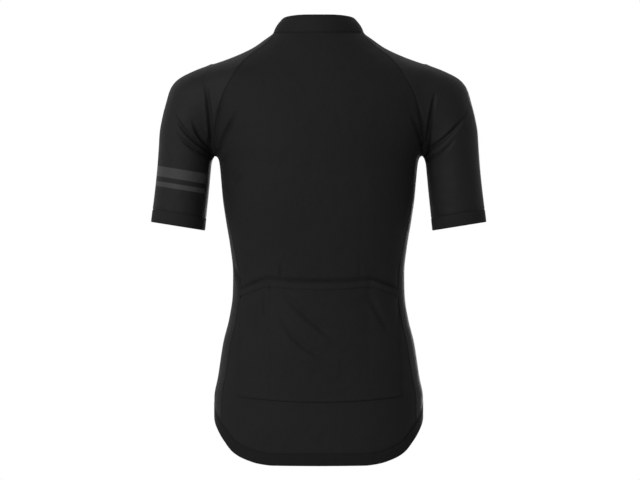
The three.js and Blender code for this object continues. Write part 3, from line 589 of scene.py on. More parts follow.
@functools.cache
def shoulder_line():
    """The outline of the arm and shoulder, from the underarm's level up to the neckline."""
    pivot = np.array([SHOULDER["x"], 0, SHOULDER["z"]])
    neck = body_point(90, neckline_z(90))
    top = math.degrees(math.atan2(neck[2] - pivot[2], neck[0] - pivot[0]))
    angle = np.radians(np.linspace(SHOULDER["from"], top, GRID["fine"] + 1))
    line = meet(pivot, np.stack([np.cos(angle), np.zeros_like(angle), np.sin(angle)], axis=-1))
    line[-1] = neck
    return line


def ellipse_guide(back, top, front, share):
    """A line round the arm: half an ellipse behind and half before a centre halfway out to the shoulder line."""
    centre = ((back + front) / 2 + top) / 2
    outward = top - centre
    half = np.linalg.norm(outward)
    outward = outward / half
    forward = front - back
    forward = unit(forward - outward * (forward @ outward))
    deep = [np.linalg.norm(meet(centre, way) - centre) for way in (-forward, forward)]
    turns = [
        math.atan2((p - centre) @ forward / reach, (p - centre) @ outward / half)
        for p, reach in ((back, deep[0]), (front, deep[1]))
    ]
    turn = mix(turns[0], turns[1], share)[:, None]
    reach = np.where(turn < 0, deep[0], deep[1])
    return centre + outward * half * np.cos(turn) + forward * reach * np.sin(turn)


@functools.cache
def raglan_rows():
    """The top of the wearer's right sleeve, in rows from the back seam over the shoulder to the front seam."""
    seam = seams()
    shares, back, front = seam["shares"], seam["raglan_back"], seam["raglan_front"]
    tops = spread(shoulder_line(), shares)
    across = np.linspace(0, 1, GRID["fine"] + 1)
    guides = []
    for share, a, top, b in zip(shares, back, tops, front):
        control = 2 * top - (a + b) / 2
        arch = (
            ((1 - across) ** 2)[:, None] * a + (2 * across * (1 - across))[:, None] * control
            + (across**2)[:, None] * b
        )
        flat = smooth((share - SHOULDER["arch_from"]) / SHOULDER["arch_over"])
        guides.append(mix(ellipse_guide(a, top, b, across), arch, flat))
    neck = neckline_z(mix(NECKLINE["sleeve_from"], NECKLINE["sleeve_to"], across))
    guides[-1] = body_point(mix(angle_of(back[-1]), angle_of(front[-1]), across), neck)
    return surface_rows(np.array(guides), back, front, GRID["sleeve_columns"], COLUMN_CROWD / 2)


def arm_ring(outer, inner):
    """A ring of the arm at one height on its outside and another inside, starting over the outside."""
    middle = np.array((outer + inner) / 2)
    centre, half, _, forward = sections(middle)[4:8]
    start = np.array([centre, forward, middle])
    outward = unit(np.array([2 * half, 0, outer - inner]))
    ways = []
    for turns in ((-UNDERARM["turn"], UNDERARM["turn"]), (UNDERARM["turn"], 2 * np.pi - UNDERARM["turn"])):
        turn = np.linspace(*turns, GRID["fine"] + 1)[:, None]
        ways.append(meet(start, outward * np.cos(turn) + np.array([0, 1, 0]) * np.sin(turn)))
    columns = GRID["sleeve_columns"] + 2 * len(SEAM_LINES)
    under = GRID["side_columns"] + 2 * len(SEAM_LINES)
    over = spread(ways[0], np.linspace(0, 1, columns + 1))
    return np.concatenate([over, spread(ways[1], np.linspace(0, 1, under + 1))[1:-1]])


@functools.cache
def sleeve_tube():
    """The wearer's right sleeve below the underarm, in rings from the cuff up."""
    cuff = arm_ring(CUFF["outer"] + CUFF["depth"], CUFF["inner"] + CUFF["depth"])
    armhole = np.concatenate([raglan_rows()[0], seams()["underarm"][::-1][1:-1]])
    share = shares_of(80, GRID["sleeve_rows"], 0, SEAM_LINES)[:, None, None]
    tube = mix(cuff[None], armhole[None], share)
    tube[1:-1] = settle(tube[1:-1])
    return tube


@functools.cache
def cuff_rings():
    """The wearer's right cuff, from its edge to the sleeve."""
    rise = shares_of(CUFF["depth"], GRID["band_rows"], 0, (1.3,)) * CUFF["depth"]
    return np.array([arm_ring(CUFF["outer"] + up, CUFF["inner"] + up) for up in rise])


def right_to_left(right, middle):
    """A line from the zip on the wearer's right, round the back, to the zip on the left."""
    return np.concatenate([right[:-1], middle, mirrored(right[:-1])[::-1]])


@functools.cache
def hem_rows():
    """The hem band, from the body down to its edge."""
    fronts, sides, back = front_rows()[0][::-1], side_rows()[0][::-1], back_rows()[0][::-1]
    top = right_to_left(np.concatenate([fronts[:-1], sides]), back)
    angle = angle_of(top)
    made = []
    for share in shares_of(HEM_BAND_DEPTH, GRID["band_rows"], 0, (1.3,)):
        z = mix(top[:, 2], hem_edge_z(angle), share)
        row = body_point(angle, z)
        row[[0, -1]] = before(top[[0, -1], 0], z[[0, -1]])
        made.append(row)
    made[0] = top
    return np.array(made)


@functools.cache
def collar_rows():
    """The collar, from the neckline up. It leans in, most at the sides, and is a little crowned."""
    front, sleeve, back = front_rows()[-1][::-1], raglan_rows()[-1][::-1], back_rows()[-1][::-1]
    foot = right_to_left(np.concatenate([front[:-1], sleeve]), back)
    turn = np.abs(angle_of(foot))

    def round_neck(sizes):
        first = (turn - COLLAR_TURNS["back"]) / (COLLAR_TURNS["side"] - COLLAR_TURNS["back"])
        second = (turn - COLLAR_TURNS["side"]) / (COLLAR_TURNS["front"] - COLLAR_TURNS["side"])
        return np.where(
            turn < COLLAR_TURNS["side"],
            mix(sizes["back"], sizes["side"], smooth(first)),
            mix(sizes["side"], sizes["front"], smooth(second)),
        )

    outward = foot * np.array([1, 1, 0]) - np.array([0, NECKLINE["centre"], 0])
    outward = unit(outward)
    outward[[0, -1], 0] = 0
    rise, lean = round_neck(COLLAR_RISE), round_neck(COLLAR_LEAN)
    bulge = mix(COLLAR_CROWN["front"], COLLAR_CROWN["side"], np.sin(np.radians(turn)) ** 2)
    made = []
    for share in shares_of(COLLAR_RISE["side"], GRID["collar_rows"], 0, SEAM_LINES):
        up = (rise * share)[:, None]
        crown = (bulge * math.sin(math.pi * share))[:, None]
        made.append(foot + up * np.array([0, 0, 1]) + outward * (crown - up * lean[:, None]))
    return np.array(made)


@functools.cache
def pocket_rows():
    """The pockets and their binding on the back panel, from the bottom seam up to the mouths."""
    columns = shares_of(2 * POCKET["half_top"], GRID["pocket_columns"], COLUMN_CROWD / 2, (1.6,)) * 2 - 1
    body = shares_of(180, GRID["pocket_rows"], 0, SEAM_LINES)
    bind = 1 + shares_of(POCKET["binding"], GRID["band_rows"], 0, (1.3,))[1:]
    up = np.concatenate([body, bind])[:, None]
    x = mix(POCKET["half_bottom"], POCKET["half_top"], np.minimum(up, 1)) * columns
    mouth = MOUTH_Z(np.abs(x))
    bottom = POCKET["bottom"] + POCKET["bottom_rise"] * columns**2
    low = mix(bottom, mouth - POCKET["binding"], np.minimum(up, 1))
    return behind(x, low + POCKET["binding"] * np.maximum(up - 1, 0)), len(body)


def pocket_lift(p):
    """How far the pockets stand off the back, most at the middle of their mouths."""
    across = np.abs(p[..., 0])
    middle = np.cos(np.minimum(across / POCKET["division"], 1) * np.pi / 2)
    outer = (across - POCKET["division"]) / (POCKET["half_top"] - POCKET["division"])
    slack = np.where(across < POCKET["division"], middle, np.sin(np.clip(outer, 0, 1) * np.pi))
    height = np.clip((p[..., 2] - POCKET["bottom"]) / (POCKET_MOUTH[0]["z"] - POCKET["bottom"]), 0, 1)
    bridging = np.maximum(0, -POCKET_CLOTH["bridge"] * fold_depth(p))
    lift = mix(POCKET_CLOTH["seam"], POCKET_CLOTH["mouth"], slack * smooth(height))
    bottom = POCKET["bottom"] + POCKET["bottom_rise"] * (across / POCKET["half_bottom"]) ** 2
    above = (p[..., 2] - bottom) / POCKET_CLOTH["turned_width"]
    return lift + bridging + POCKET_CLOTH["turned"] * (1 - smooth((above - 0.6) / 0.4))


def mouth_groove(p):
    """How far the back panel is drawn in along the mouths of the pockets."""
    across = np.abs(p[..., 0])
    above = p[..., 2] - MOUTH_Z(across) - MOUTH_GROOVE["above"]
    inside = smooth((POCKET["half_top"] - across) / MOUTH_GROOVE["width"])
    return -MOUTH_GROOVE["depth"] * inside * np.exp(-((above / MOUTH_GROOVE["width"]) ** 2))


def fold_paths(table, face):
    """Each fold with the points of its line, a curve through its start, middle and end."""
    t = np.linspace(0, 1, FOLD_FORM["steps"] + 1)[:, None]
    made = []
    for fold in table:
        a, b, c = (np.array([fold[f"x{i}"], fold[f"z{i}"]]) for i in (1, 2, 3))
        control = 2 * b - (a + c) / 2
        made.append((fold, face, a * (1 - t) ** 2 + control * 2 * t * (1 - t) + c * t * t))
    return made


FOLD_LINES = fold_paths(BACK_FOLDS, -1) + fold_paths(FRONT_FOLDS, 1)


def fold_depth(p):
    """How far the folds push the cloth in or out at points of the figure."""
    flat = p.reshape(-1, 3)
    troughs, ridges = np.zeros(len(flat)), np.zeros(len(flat))
    for fold, face, path in FOLD_LINES:
        reach = FOLD_FORM["reach"] * fold["width"]
        low, high = path.min(axis=0) - reach, path.max(axis=0) + reach
        here = flat[:, [0, 2]]
        near = np.flatnonzero(np.all((here > low) & (here < high), axis=1) & (flat[:, 1] * face > 0))
        if not len(near):
            continue
        way = np.diff(path, axis=0)
        off = here[near][:, None] - path[None, :-1]
        t = np.clip(np.sum(off * way, axis=-1) / np.sum(way * way, axis=-1), 0, 1)
        gap = np.linalg.norm(off - t[..., None] * way, axis=-1)
        best = np.argmin(gap, axis=1)
        picked = np.arange(len(near))
        share = (best + t[picked, best]) / len(way)
        width = fold["width"] * mix(FOLD_FORM["tip"], 1, smooth(share / FOLD_FORM["fade_in"]))
        side = gap[picked, best] / width
        fade_out = smooth((share - 1 + FOLD_FORM["fade_out"]) / FOLD_FORM["fade_out"])
        taper = smooth(share / FOLD_FORM["fade_in"]) * mix(1, fold["left"], fade_out)
        facing = smooth(flat[near, 1] * face / FOLD_FORM["facing"])
        trough = fold["depth"] * facing * taper * np.exp(-side * side)
        troughs[near] += trough**3
        ridges[near] = np.maximum(ridges[near], FOLD_FORM["side_rise"] * side * side * trough)
    low = FOLD_FORM["deepest"] * np.tanh(np.cbrt(troughs) / FOLD_FORM["deepest"])
    total = ridges * np.exp(-low / FOLD_FORM["parting"]) - low
    return total.reshape(p.shape[:-1])


class Cloth:
    """Points in grids with quads between them, which become one thin shell with a mapping in metres."""

    def __init__(self):
        self.points = np.zeros((0, 3))
        self.maps = np.zeros((0, 2))
        self.quads = []
        self.quad_maps = []
        self.reached = 0

    def grid(self, points, closed=False, shared=None, middle=None):
        """Adds rows of points, the first of which may be shared with a grid that is there already.

        The mapping starts across from the middle column, and up from where the grid before it ended.
        """
        rows_, columns = points.shape[:2]
        loop = np.concatenate([points, points[:, :1]], axis=1) if closed else points
        across = np.linalg.norm(np.diff(loop, axis=1), axis=-1)
        u = np.concatenate([np.zeros((rows_, 1)), np.cumsum(across, axis=1)], axis=1)
        u = u - u[:, columns // 2 if middle is None else middle][:, None]
        up = np.linalg.norm(np.diff(points, axis=0), axis=-1).mean(axis=1)
        v = np.concatenate([[0], np.cumsum(up)])[:, None] + self.reached
        self.reached = float(v[-1, 0])
        uv = np.stack([u, np.broadcast_to(v, u.shape)], axis=-1)
        fresh = points if shared is None else points[1:]
        ids = len(self.points) + np.arange(fresh.shape[0] * columns).reshape(-1, columns)
        self.points = np.concatenate([self.points, fresh.reshape(-1, 3)])
        plain = uv[:, :columns] if shared is None else uv[1:, :columns]
        self.maps = np.concatenate([self.maps, plain.reshape(-1, 2)])
        if shared is not None:
            ids = np.concatenate([shared[None, :columns], ids])
        full = np.concatenate([ids, ids[:, :1]], axis=1) if closed else ids
        for kept, source in ((self.quads, full), (self.quad_maps, uv)):
            corners = (source[:-1, :-1], source[:-1, 1:], source[1:, 1:], source[1:, :-1])
            quads = np.stack(corners, axis=2)
            kept.append(quads.reshape(-1, *quads.shape[2:]))
        return ids

    def shell(self, name, thick, lift=None, normals=None, folded=True, dip=SEAM_DIP):
        """The mesh of the cloth."""
        quads, quad_maps = np.concatenate(self.quads), np.concatenate(self.quad_maps)
        p = self.points
        n = figure_normals(p) if normals is None else normals
        a, b, c = (p[quads[:, i]] for i in (0, 1, 2))
        if np.sum(np.cross(b - a, c - a) * n[quads[:, 0]]) < 0:
            quads, quad_maps = quads[:, ::-1], quad_maps[:, ::-1]
        rim = rim_of(quads, len(p))
        height = (fold_depth(p) if folded else 0) + (0 if lift is None else lift(p))
        height = np.broadcast_to(height, len(p)).copy()
        laid_out = extended(p, n, rim, SEAM_LAP / 2)
        inner = laid_out + n * (height - thick)[:, None]
        outer = laid_out + n * height[:, None]
        edge = np.unique(rim)
        outer[edge] -= n[edge] * dip
        count = len(p)
        walls = np.stack([rim[:, 1], rim[:, 0], rim[:, 0] + count, rim[:, 1] + count], axis=1)
        faces = np.concatenate([quads, quads[:, ::-1] + count, walls])
        wall_maps = self.maps[walls % count]
        maps = np.concatenate([quad_maps, quad_maps[:, ::-1], wall_maps])
        mesh = bpy.data.meshes.new(name)
        mesh.from_pydata((np.concatenate([outer, inner]) * MM).tolist(), [], faces.tolist())
        layer = mesh.uv_layers.new(name="cloth")
        layer.data.foreach_set("uv", (maps.reshape(-1, 2) * MM).ravel())
        mesh.shade_smooth()
        mesh.set_sharp_from_angle(angle=math.radians(55))
        flat = np.cross(p[quads[:, 2]] - p[quads[:, 0]], p[quads[:, 3]] - p[quads[:, 1]])
        self.area = np.linalg.norm(flat, axis=-1).sum() / 2
        return mesh


def rim_of(quads, count):
    """The directed edges that belong to one quad only."""
    edges = np.concatenate([quads[:, [i, (i + 1) % 4]] for i in range(4)])
    forward = edges[:, 0].astype(np.int64) * count + edges[:, 1]
    back = edges[:, 1].astype(np.int64) * count + edges[:, 0]
    return edges[~np.isin(forward, back)]


def extended(points, normals, rim, distance):
    """The points with every edge of the cloth moved outwards, so that neighbours lap a little."""
    moved = points.copy()
    moves = np.zeros_like(points)
    for end in (0, 1):
        way = np.cross(normals[rim[:, end]], points[rim[:, 1]] - points[rim[:, 0]])
        np.add.at(moves, rim[:, end], unit(way))
    edge = np.unique(rim)
    size = np.maximum(np.linalg.norm(moves[edge], axis=-1, keepdims=True), 0.4)
    moved[edge] -= moves[edge] / size * distance
    return moved


class Graph:
    """Adds nodes to a tree, with their inputs set or joined by name or number."""

    def __init__(self, tree):
        self.tree = tree

    def add(self, kind, inputs=None, **settings):
        """A new node."""
        node = self.tree.nodes.new(kind)
        for name, value in settings.items():
            setattr(node, name, value)
        for name, value in (inputs or {}).items():
            if isinstance(value, bpy.types.NodeSocket):
                self.tree.links.new(value, node.inputs[name])
            else:
                node.inputs[name].default_value = value
        return node

    def math(self, operation, *values):
        """The result of a sum on numbers or sockets."""
        return self.add("ShaderNodeMath", dict(enumerate(values)), operation=operation).outputs[0]

    def band(self, value, low, high, blur):
        """1 between two limits and 0 outside them, with a narrow blur."""
        rise = self.add("ShaderNodeMapRange", {0: value, 1: low - blur, 2: low + blur, 3: 0.0, 4: 1.0}).outputs[0]
        fall = self.add("ShaderNodeMapRange", {0: value, 1: high - blur, 2: high + blur, 3: 1.0, 4: 0.0}).outputs[0]
        return self.math("MULTIPLY", rise, fall)


def new_material(name):
    """A material with an empty tree."""
    material = bpy.data.materials.new(name)
    material.use_nodes = True
    material.node_tree.nodes.clear()
    return material, Graph(material.node_tree)


def shade(graph, inputs):
    """Ends a material's tree with one surface shader."""
    surface = graph.add("ShaderNodeBsdfPrincipled", inputs)
    graph.add("ShaderNodeOutputMaterial", {"Surface": surface.outputs[0]})


def tint(colour, gain):
    """A colour made lighter or darker, with full alpha."""
    return (*(min(1, channel * gain) for channel in colour), 1)


def uneven(graph, colour, scale, spread_):
    """A colour that wanders a little over the object."""
    place = graph.add("ShaderNodeTexCoord").outputs["Object"]
    cloud = graph.add("ShaderNodeTexNoise", {"Vector": place, "Scale": scale, "Detail": 3.0}).outputs[0]
    share = graph.add("ShaderNodeMapRange", {0: cloud, 1: 0.3, 2: 0.7}).outputs[0]
    blend = graph.add("ShaderNodeMix", {0: share}, data_type="RGBA")
    blend.inputs["A"].default_value = tint(colour, 1 - spread_)
    blend.inputs["B"].default_value = tint(colour, 1 + spread_)
    return blend.outputs["Result"]


def cloth_axes(graph):
    """The distances across and along the cloth."""
    place = graph.add("ShaderNodeUVMap", uv_map="cloth").outputs[0]
    axes = graph.add("ShaderNodeSeparateXYZ", {0: place})
    return axes.outputs[0], axes.outputs[1]


def ridges(graph, distance, pitch):
    """Rounded ridges with narrow valleys, one for each pitch."""
    turn = graph.math("MULTIPLY", distance, math.pi / pitch)
    return graph.math("ABSOLUTE", graph.math("SINE", turn))


def knit_height(graph, across, along, wale, course):
    """Rows of V-shaped stitches: wales run up the cloth, and courses cross them at a slant."""
    slant = graph.math("PINGPONG", across, wale / 2)
    crossed = graph.math("ADD", along, slant)
    wales = ridges(graph, across, wale)
    courses = ridges(graph, crossed, course)
    return graph.math("MULTIPLY_ADD", courses, 0.45, wales)


def mesh_height(graph, across, along, wale, course):
    """An open stretch knit with small hollows set in staggered rows."""
    step = graph.math("MULTIPLY", across, 2 * math.pi / wale)
    climb = graph.math("MULTIPLY", along, 2 * math.pi / course)
    first = graph.math("SINE", graph.math("ADD", step, climb))
    second = graph.math("SINE", graph.math("SUBTRACT", step, climb))
    return graph.math("MAXIMUM", graph.math("MULTIPLY", first, second), -0.25)


def rib_height(graph, across, along, wale, course):
    """Elastic: upright ribs crossed by fine rows."""
    ribs = ridges(graph, across, wale)
    return graph.math("MULTIPLY_ADD", ridges(graph, along, course), 0.35, ribs)


# Each knit: its height, how far apart its wales and courses are, how deep they are, and how it shines
KNITS = {
    "body": {"height": knit_height, "wale": 0.00075, "course": 0.0006, "depth": 0.00012, "rough": 0.7,
             "sheen": 0.004, "specular": 0.042, "wander": 0.07},
    "side": {"height": mesh_height, "wale": 0.0014, "course": 0.0018, "depth": 0.00018, "rough": 0.55,
             "sheen": 0.005, "specular": 0.035, "wander": 0.05},
    "sleeve": {"height": knit_height, "wale": 0.0006, "course": 0.0005, "depth": 0.0001, "rough": 0.6,
               "sheen": 0.004, "specular": 0.05, "wander": 0.06},
    "elastic": {"height": rib_height, "wale": 0.0012, "course": 0.0005, "depth": 0.0002, "rough": 0.8,
                "sheen": 0.003, "specular": 0.04, "wander": 0.05},
}
FUZZ = {"scale": 2600, "share": 0.35}
UNEVEN = {"scale": 38.0, "depth": 0.0022}
SHEEN_ROUGH = 0.45
WANDER_SCALE = 7.0

# The two plain stripes round the wearer's left sleeve: place of the upper edge, slope, width and reach round it
STRIPES = rows("top slope width reach", """
  -243.6 0.164 16.4 124
  -268   0.164 7.8  124
""")
STRIPE_BLUR = 0.25
STRIPE_ROUGH = 0.5


def knit_material(name, knit, colour, stripe=None):
    """A knitted cloth. The stripes are a flat film that hides the colour and softens the stitches."""
    material, graph = new_material(name)
    across, along = cloth_axes(graph)
    height = knit["height"](graph, across, along, knit["wale"], knit["course"])
    place = graph.add("ShaderNodeTexCoord").outputs["Object"]
    fuzz = graph.add("ShaderNodeTexNoise", {"Vector": place, "Scale": FUZZ["scale"], "Detail": 1.0}).outputs[0]
    height = graph.math("MULTIPLY_ADD", fuzz, FUZZ["share"], height)
    base = uneven(graph, colour, WANDER_SCALE, knit["wander"])
    inputs = {
        "Roughness": knit["rough"], "Specular IOR Level": knit["specular"], "Sheen Weight": knit["sheen"],
        "Sheen Roughness": SHEEN_ROUGH,
    }
    if stripe:
        film = stripe_mask(graph, across)
        blend = graph.add("ShaderNodeMix", {0: film}, data_type="RGBA")
        graph.tree.links.new(base, blend.inputs["A"])
        blend.inputs["B"].default_value = tint(stripe, 1)
        base = blend.outputs["Result"]
        inputs["Roughness"] = graph.add(
            "ShaderNodeMapRange", {0: film, 1: 0.0, 2: 1.0, 3: knit["rough"], 4: STRIPE_ROUGH}
        ).outputs[0]
        height = graph.math("MULTIPLY", height, graph.math("MULTIPLY_ADD", film, -0.7, 1.0))
    cloud = graph.add("ShaderNodeTexNoise", {"Vector": place, "Scale": UNEVEN["scale"], "Detail": 2.0}).outputs[0]
    soft = graph.add("ShaderNodeBump", {"Height": cloud, "Strength": 1.0, "Distance": UNEVEN["depth"]}).outputs[0]
    bump = graph.add(
        "ShaderNodeBump", {"Height": height, "Strength": 0.6, "Distance": knit["depth"], "Normal": soft}
    )
    shade(graph, {**inputs, "Base Color": base, "Normal": bump.outputs[0]})
    return material


def stripe_mask(graph, across):
    """1 on the stripes: between two sloping planes, and on the outside of the arm up to its underarm seam."""
    place = graph.add("ShaderNodeTexCoord").outputs["Object"]
    axes = graph.add("ShaderNodeSeparateXYZ", {0: place})
    film = None
    for stripe in STRIPES:
        level = graph.math("MULTIPLY_ADD", axes.outputs[0], stripe["slope"], axes.outputs[2])
        low, high = (stripe["top"] - stripe["width"]) * MM, stripe["top"] * MM
        mask = graph.band(level, low, high, STRIPE_BLUR * MM)
        round_arm = graph.band(across, -stripe["reach"] * MM, stripe["reach"] * MM, STRIPE_BLUR * MM)
        mask = graph.math("MULTIPLY", mask, round_arm)
        film = mask if film is None else graph.math("MAXIMUM", film, mask)
    return film


def thread_material(name, colour):
    """Spun polyester thread."""
    material, graph = new_material(name)
    place = graph.add("ShaderNodeTexCoord").outputs["Object"]
    twist = graph.add("ShaderNodeTexNoise", {"Vector": place, "Scale": 5200.0, "Detail": 2.0}).outputs[0]
    bump = graph.add("ShaderNodeBump", {"Height": twist, "Strength": 0.5, "Distance": 0.00008})
    base = uneven(graph, colour, 60.0, 0.15)
    shade(graph, {"Base Color": base, "Roughness": 0.6, "Specular IOR Level": 0.05, "Normal": bump.outputs[0]})
    return material


def plastic_material(name, colour, rough):
    """Nylon of the zip, with fine mould grain."""
    material, graph = new_material(name)
    place = graph.add("ShaderNodeTexCoord").outputs["Object"]
    grain = graph.add("ShaderNodeTexNoise", {"Vector": place, "Scale": 1800.0, "Detail": 2.0}).outputs[0]
    bump = graph.add("ShaderNodeBump", {"Height": grain, "Strength": 0.3, "Distance": 0.00005})
    base = uneven(graph, colour, 40.0, 0.1)
    shade(graph, {"Base Color": base, "Roughness": rough, "Specular IOR Level": 0.25, "Normal": bump.outputs[0]})
    return material


def lacquer_material(name, colour):
    """Black lacquer on cast metal, worn a little lighter on its edges."""
    material, graph = new_material(name)
    place = graph.add("ShaderNodeTexCoord").outputs["Object"]
    edge = graph.add("ShaderNodeNewGeometry").outputs["Pointiness"]
    scuff = graph.add("ShaderNodeTexNoise", {"Vector": place, "Scale": 900.0, "Detail": 4.0}).outputs[0]
    worn = graph.add("ShaderNodeMapRange", {0: graph.math("MULTIPLY_ADD", scuff, 0.12, edge), 1: 0.6, 2: 0.7})
    blend = graph.add("ShaderNodeMix", {0: worn.outputs[0]}, data_type="RGBA")
    blend.inputs["A"].default_value = tint(colour, 1)
    blend.inputs["B"].default_value = tint(colour, 4)
    rough = graph.add("ShaderNodeMapRange", {0: scuff, 1: 0.0, 2: 1.0, 3: 0.28, 4: 0.45}).outputs[0]
    bump = graph.add("ShaderNodeBump", {"Height": scuff, "Strength": 0.15, "Distance": 0.00005})
    shade(graph, {"Base Color": blend.outputs["Result"], "Roughness": rough, "Metallic": 0.1,
                  "Specular IOR Level": 0.13, "Coat Weight": 0.05, "Coat Roughness": 0.15, "Normal": bump.outputs[0]})
    return material


def floor_material(name, colour):
    """A plain pale floor."""
    material, graph = new_material(name)
    place = graph.add("ShaderNodeTexCoord").outputs["Object"]
    grain = graph.add("ShaderNodeTexNoise", {"Vector": place, "Scale": 3.0, "Detail": 4.0}).outputs[0]
    bump = graph.add("ShaderNodeBump", {"Height": grain, "Strength": 0.05, "Distance": 0.01})
    shade(graph, {"Base Color": tint(colour, 1), "Roughness": 0.9, "Specular IOR Level": 0.1,
                  "Normal": bump.outputs[0]})
    return material


def place_piece(name, mesh, material, slot, *nodes, body=BODY):
    """Puts a finished mesh in the scene, on its body and in the place of its solids."""
    if name in bpy.data.objects:
        raise RuntimeError(f"{name} is in the scene already")
    piece = bpy.data.objects.new(name, mesh)
    bpy.context.scene.collection.objects.link(piece)
    mesh.materials.clear()
    mesh.materials.append(material)
    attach(piece, body)
    if nodes:
        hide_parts(*nodes)
    return piece


def sew_panel(name, grid, side, material, slot, node, held="hung", rests_on=(), **shell):
    """One panel from its grid, on the wearer's right or mirrored to the left."""
    cloth = Cloth()
    cloth.grid(grid if side > 0 else mirrored(grid))
    mesh = cloth.shell(name, **shell)
    piece = place_piece(name, mesh, material, slot, node)
    return piece


def thread_tree():
    """Small arches of thread or coil in a row along each line, turned to the cloth that they lie on."""
    tree = bpy.data.node_groups.new("arches along a seam", "GeometryNodeTree")
    tree.interface.new_socket("Geometry", in_out="INPUT", socket_type="NodeSocketGeometry")
    for name, kind in (
        ("Pitch", "NodeSocketFloat"), ("Length", "NodeSocketFloat"), ("Rise", "NodeSocketFloat"),
        ("Radius", "NodeSocketFloat"), ("Shift", "NodeSocketFloat"), ("Turn", "NodeSocketFloat"),
        ("Swing", "NodeSocketFloat"), ("Wobble", "NodeSocketFloat"), ("Seed", "NodeSocketInt"),
        ("Material", "NodeSocketMaterial"),
    ):
        tree.interface.new_socket(name, in_out="INPUT", socket_type=kind)
    tree.interface.new_socket("Geometry", in_out="OUTPUT", socket_type="NodeSocketGeometry")
    graph = Graph(tree)
    given = graph.add("NodeGroupInput").outputs
    curve = graph.add("GeometryNodeMeshToCurve", {0: given["Geometry"]}).outputs[0]
    line = graph.add("GeometryNodeResampleCurve", {"Curve": curve, "Length": given["Pitch"]}, mode="LENGTH")
    lie = graph.add("GeometryNodeInputNamedAttribute", {"Name": "lie"}, data_type="FLOAT_VECTOR").outputs[0]
    way = graph.add("GeometryNodeInputTangent").outputs[0]
    axes = graph.add("FunctionNodeAxesToRotation", {0: lie, 1: way}, primary_axis="Z", secondary_axis="X")
    index = graph.add("GeometryNodeInputIndex").outputs[0]
    hand = graph.math("MULTIPLY_ADD", graph.math("MODULO", index, 2.0), 2.0, -1.0)
    low = graph.math("MULTIPLY", given["Wobble"], -1.0)
    chance = graph.add("FunctionNodeRandomValue", data_type="FLOAT")
    ranges = [socket for socket in chance.inputs if socket.name in ("Min", "Max") and socket.type == "VALUE"]
    for socket, value in zip(ranges, (low, given["Wobble"])):
        tree.links.new(value, socket)
    tree.links.new(given["Seed"], chance.inputs["Seed"])
    loose = next(socket for socket in chance.outputs if socket.type == "VALUE")
    angle = graph.math("ADD", given["Turn"], graph.math("MULTIPLY_ADD", hand, given["Swing"], loose))
    turn = graph.add("FunctionNodeEulerToRotation", {0: graph.add("ShaderNodeCombineXYZ", {2: angle}).outputs[0]})
    turned = graph.add(
        "FunctionNodeRotateRotation", {0: axes.outputs[0], 1: turn.outputs[0]}, rotation_space="LOCAL"
    )
    half = graph.math("MULTIPLY", given["Length"], 0.5)
    ends = [graph.math(operation, given["Shift"], half) for operation in ("SUBTRACT", "ADD")]
    high = graph.math("MULTIPLY", given["Rise"], 2.0)
    start, end = (graph.add("ShaderNodeCombineXYZ", {0: x}).outputs[0] for x in ends)
    top = graph.add("ShaderNodeCombineXYZ", {0: given["Shift"], 2: high}).outputs[0]
    arch = graph.add(
        "GeometryNodeCurveQuadraticBezier", {"Resolution": 3, "Start": start, "Middle": top, "End": end}
    )
    ring = graph.add("GeometryNodeCurvePrimitiveCircle", {"Resolution": 5, "Radius": given["Radius"]})
    tube = graph.add(
        "GeometryNodeCurveToMesh", {"Curve": arch.outputs[0], "Profile Curve": ring.outputs[0], "Fill Caps": True}
    )
    smooth_tube = graph.add("GeometryNodeSetShadeSmooth", {0: tube.outputs[0]}).outputs[0]
    placed = graph.add(
        "GeometryNodeInstanceOnPoints",
        {"Points": line.outputs[0], "Instance": smooth_tube, "Rotation": turned.outputs[0]},
    )
    real = graph.add("GeometryNodeRealizeInstances", {0: placed.outputs[0]}).outputs[0]
    done = graph.add("GeometryNodeSetMaterial", {"Geometry": real, "Material": given["Material"]}).outputs[0]
    graph.add("NodeGroupOutput", {0: done})
    return tree


def line_mesh(name, lines):
    """Lines of points, each with the outward direction of the cloth under it."""
    verts, lies, edges = [], [], []
    for points, normals, closed in lines:
        first = sum(len(part) for part in verts)
        count = len(points)
        verts.append(points * MM)
        lies.append(normals)
        ids = first + np.arange(count)
        edges.append(np.stack([ids[:-1], ids[1:]], axis=1))
        if closed:
            edges.append(np.array([[ids[-1], ids[0]]]))
    mesh = bpy.data.meshes.new(name)
    mesh.from_pydata(np.concatenate(verts).tolist(), np.concatenate(edges).tolist(), [])
    mesh.attributes.new("lie", "FLOAT_VECTOR", "POINT").data.foreach_set("vector", np.concatenate(lies).ravel())
    return mesh


def grow(name, lines, settings):
    """A plain mesh of arches along the lines."""
    tree = bpy.data.node_groups.get("arches along a seam") or thread_tree()
    holder = bpy.data.objects.new(name, line_mesh(name, lines))
    bpy.context.scene.collection.objects.link(holder)
    modifier = holder.modifiers.new("arches", "NODES")
    modifier.node_group = tree
    for item in tree.interface.items_tree:
        if item.in_out == "INPUT" and item.name in settings:
            modifier[item.identifier] = settings[item.name]
    depsgraph = bpy.context.evaluated_depsgraph_get()
    mesh = bpy.data.meshes.new_from_object(holder.evaluated_get(depsgraph), depsgraph=depsgraph)
    bpy.data.objects.remove(holder)
    if not len(mesh.polygons):
        raise RuntimeError(f"{name}: no arches were made")
    return mesh


def laid(points, lift=0, closed=False):
    """A line on the outer face of the cloth, with its outward directions."""
    normals = figure_normals(points)
    return points + normals * (fold_depth(points) + lift)[..., None], normals, closed


def both_sides(points, lift=0, closed=False):
    """A line on the wearer's right and its mirror on the left."""
    return [laid(line, lift, closed) for line in (points, mirrored(points))]


def collar_normals(grid):
    """The outward directions over the collar."""
    along = np.gradient(grid, axis=1)
    up = np.gradient(grid, axis=0)
    return unit(np.cross(up, along))


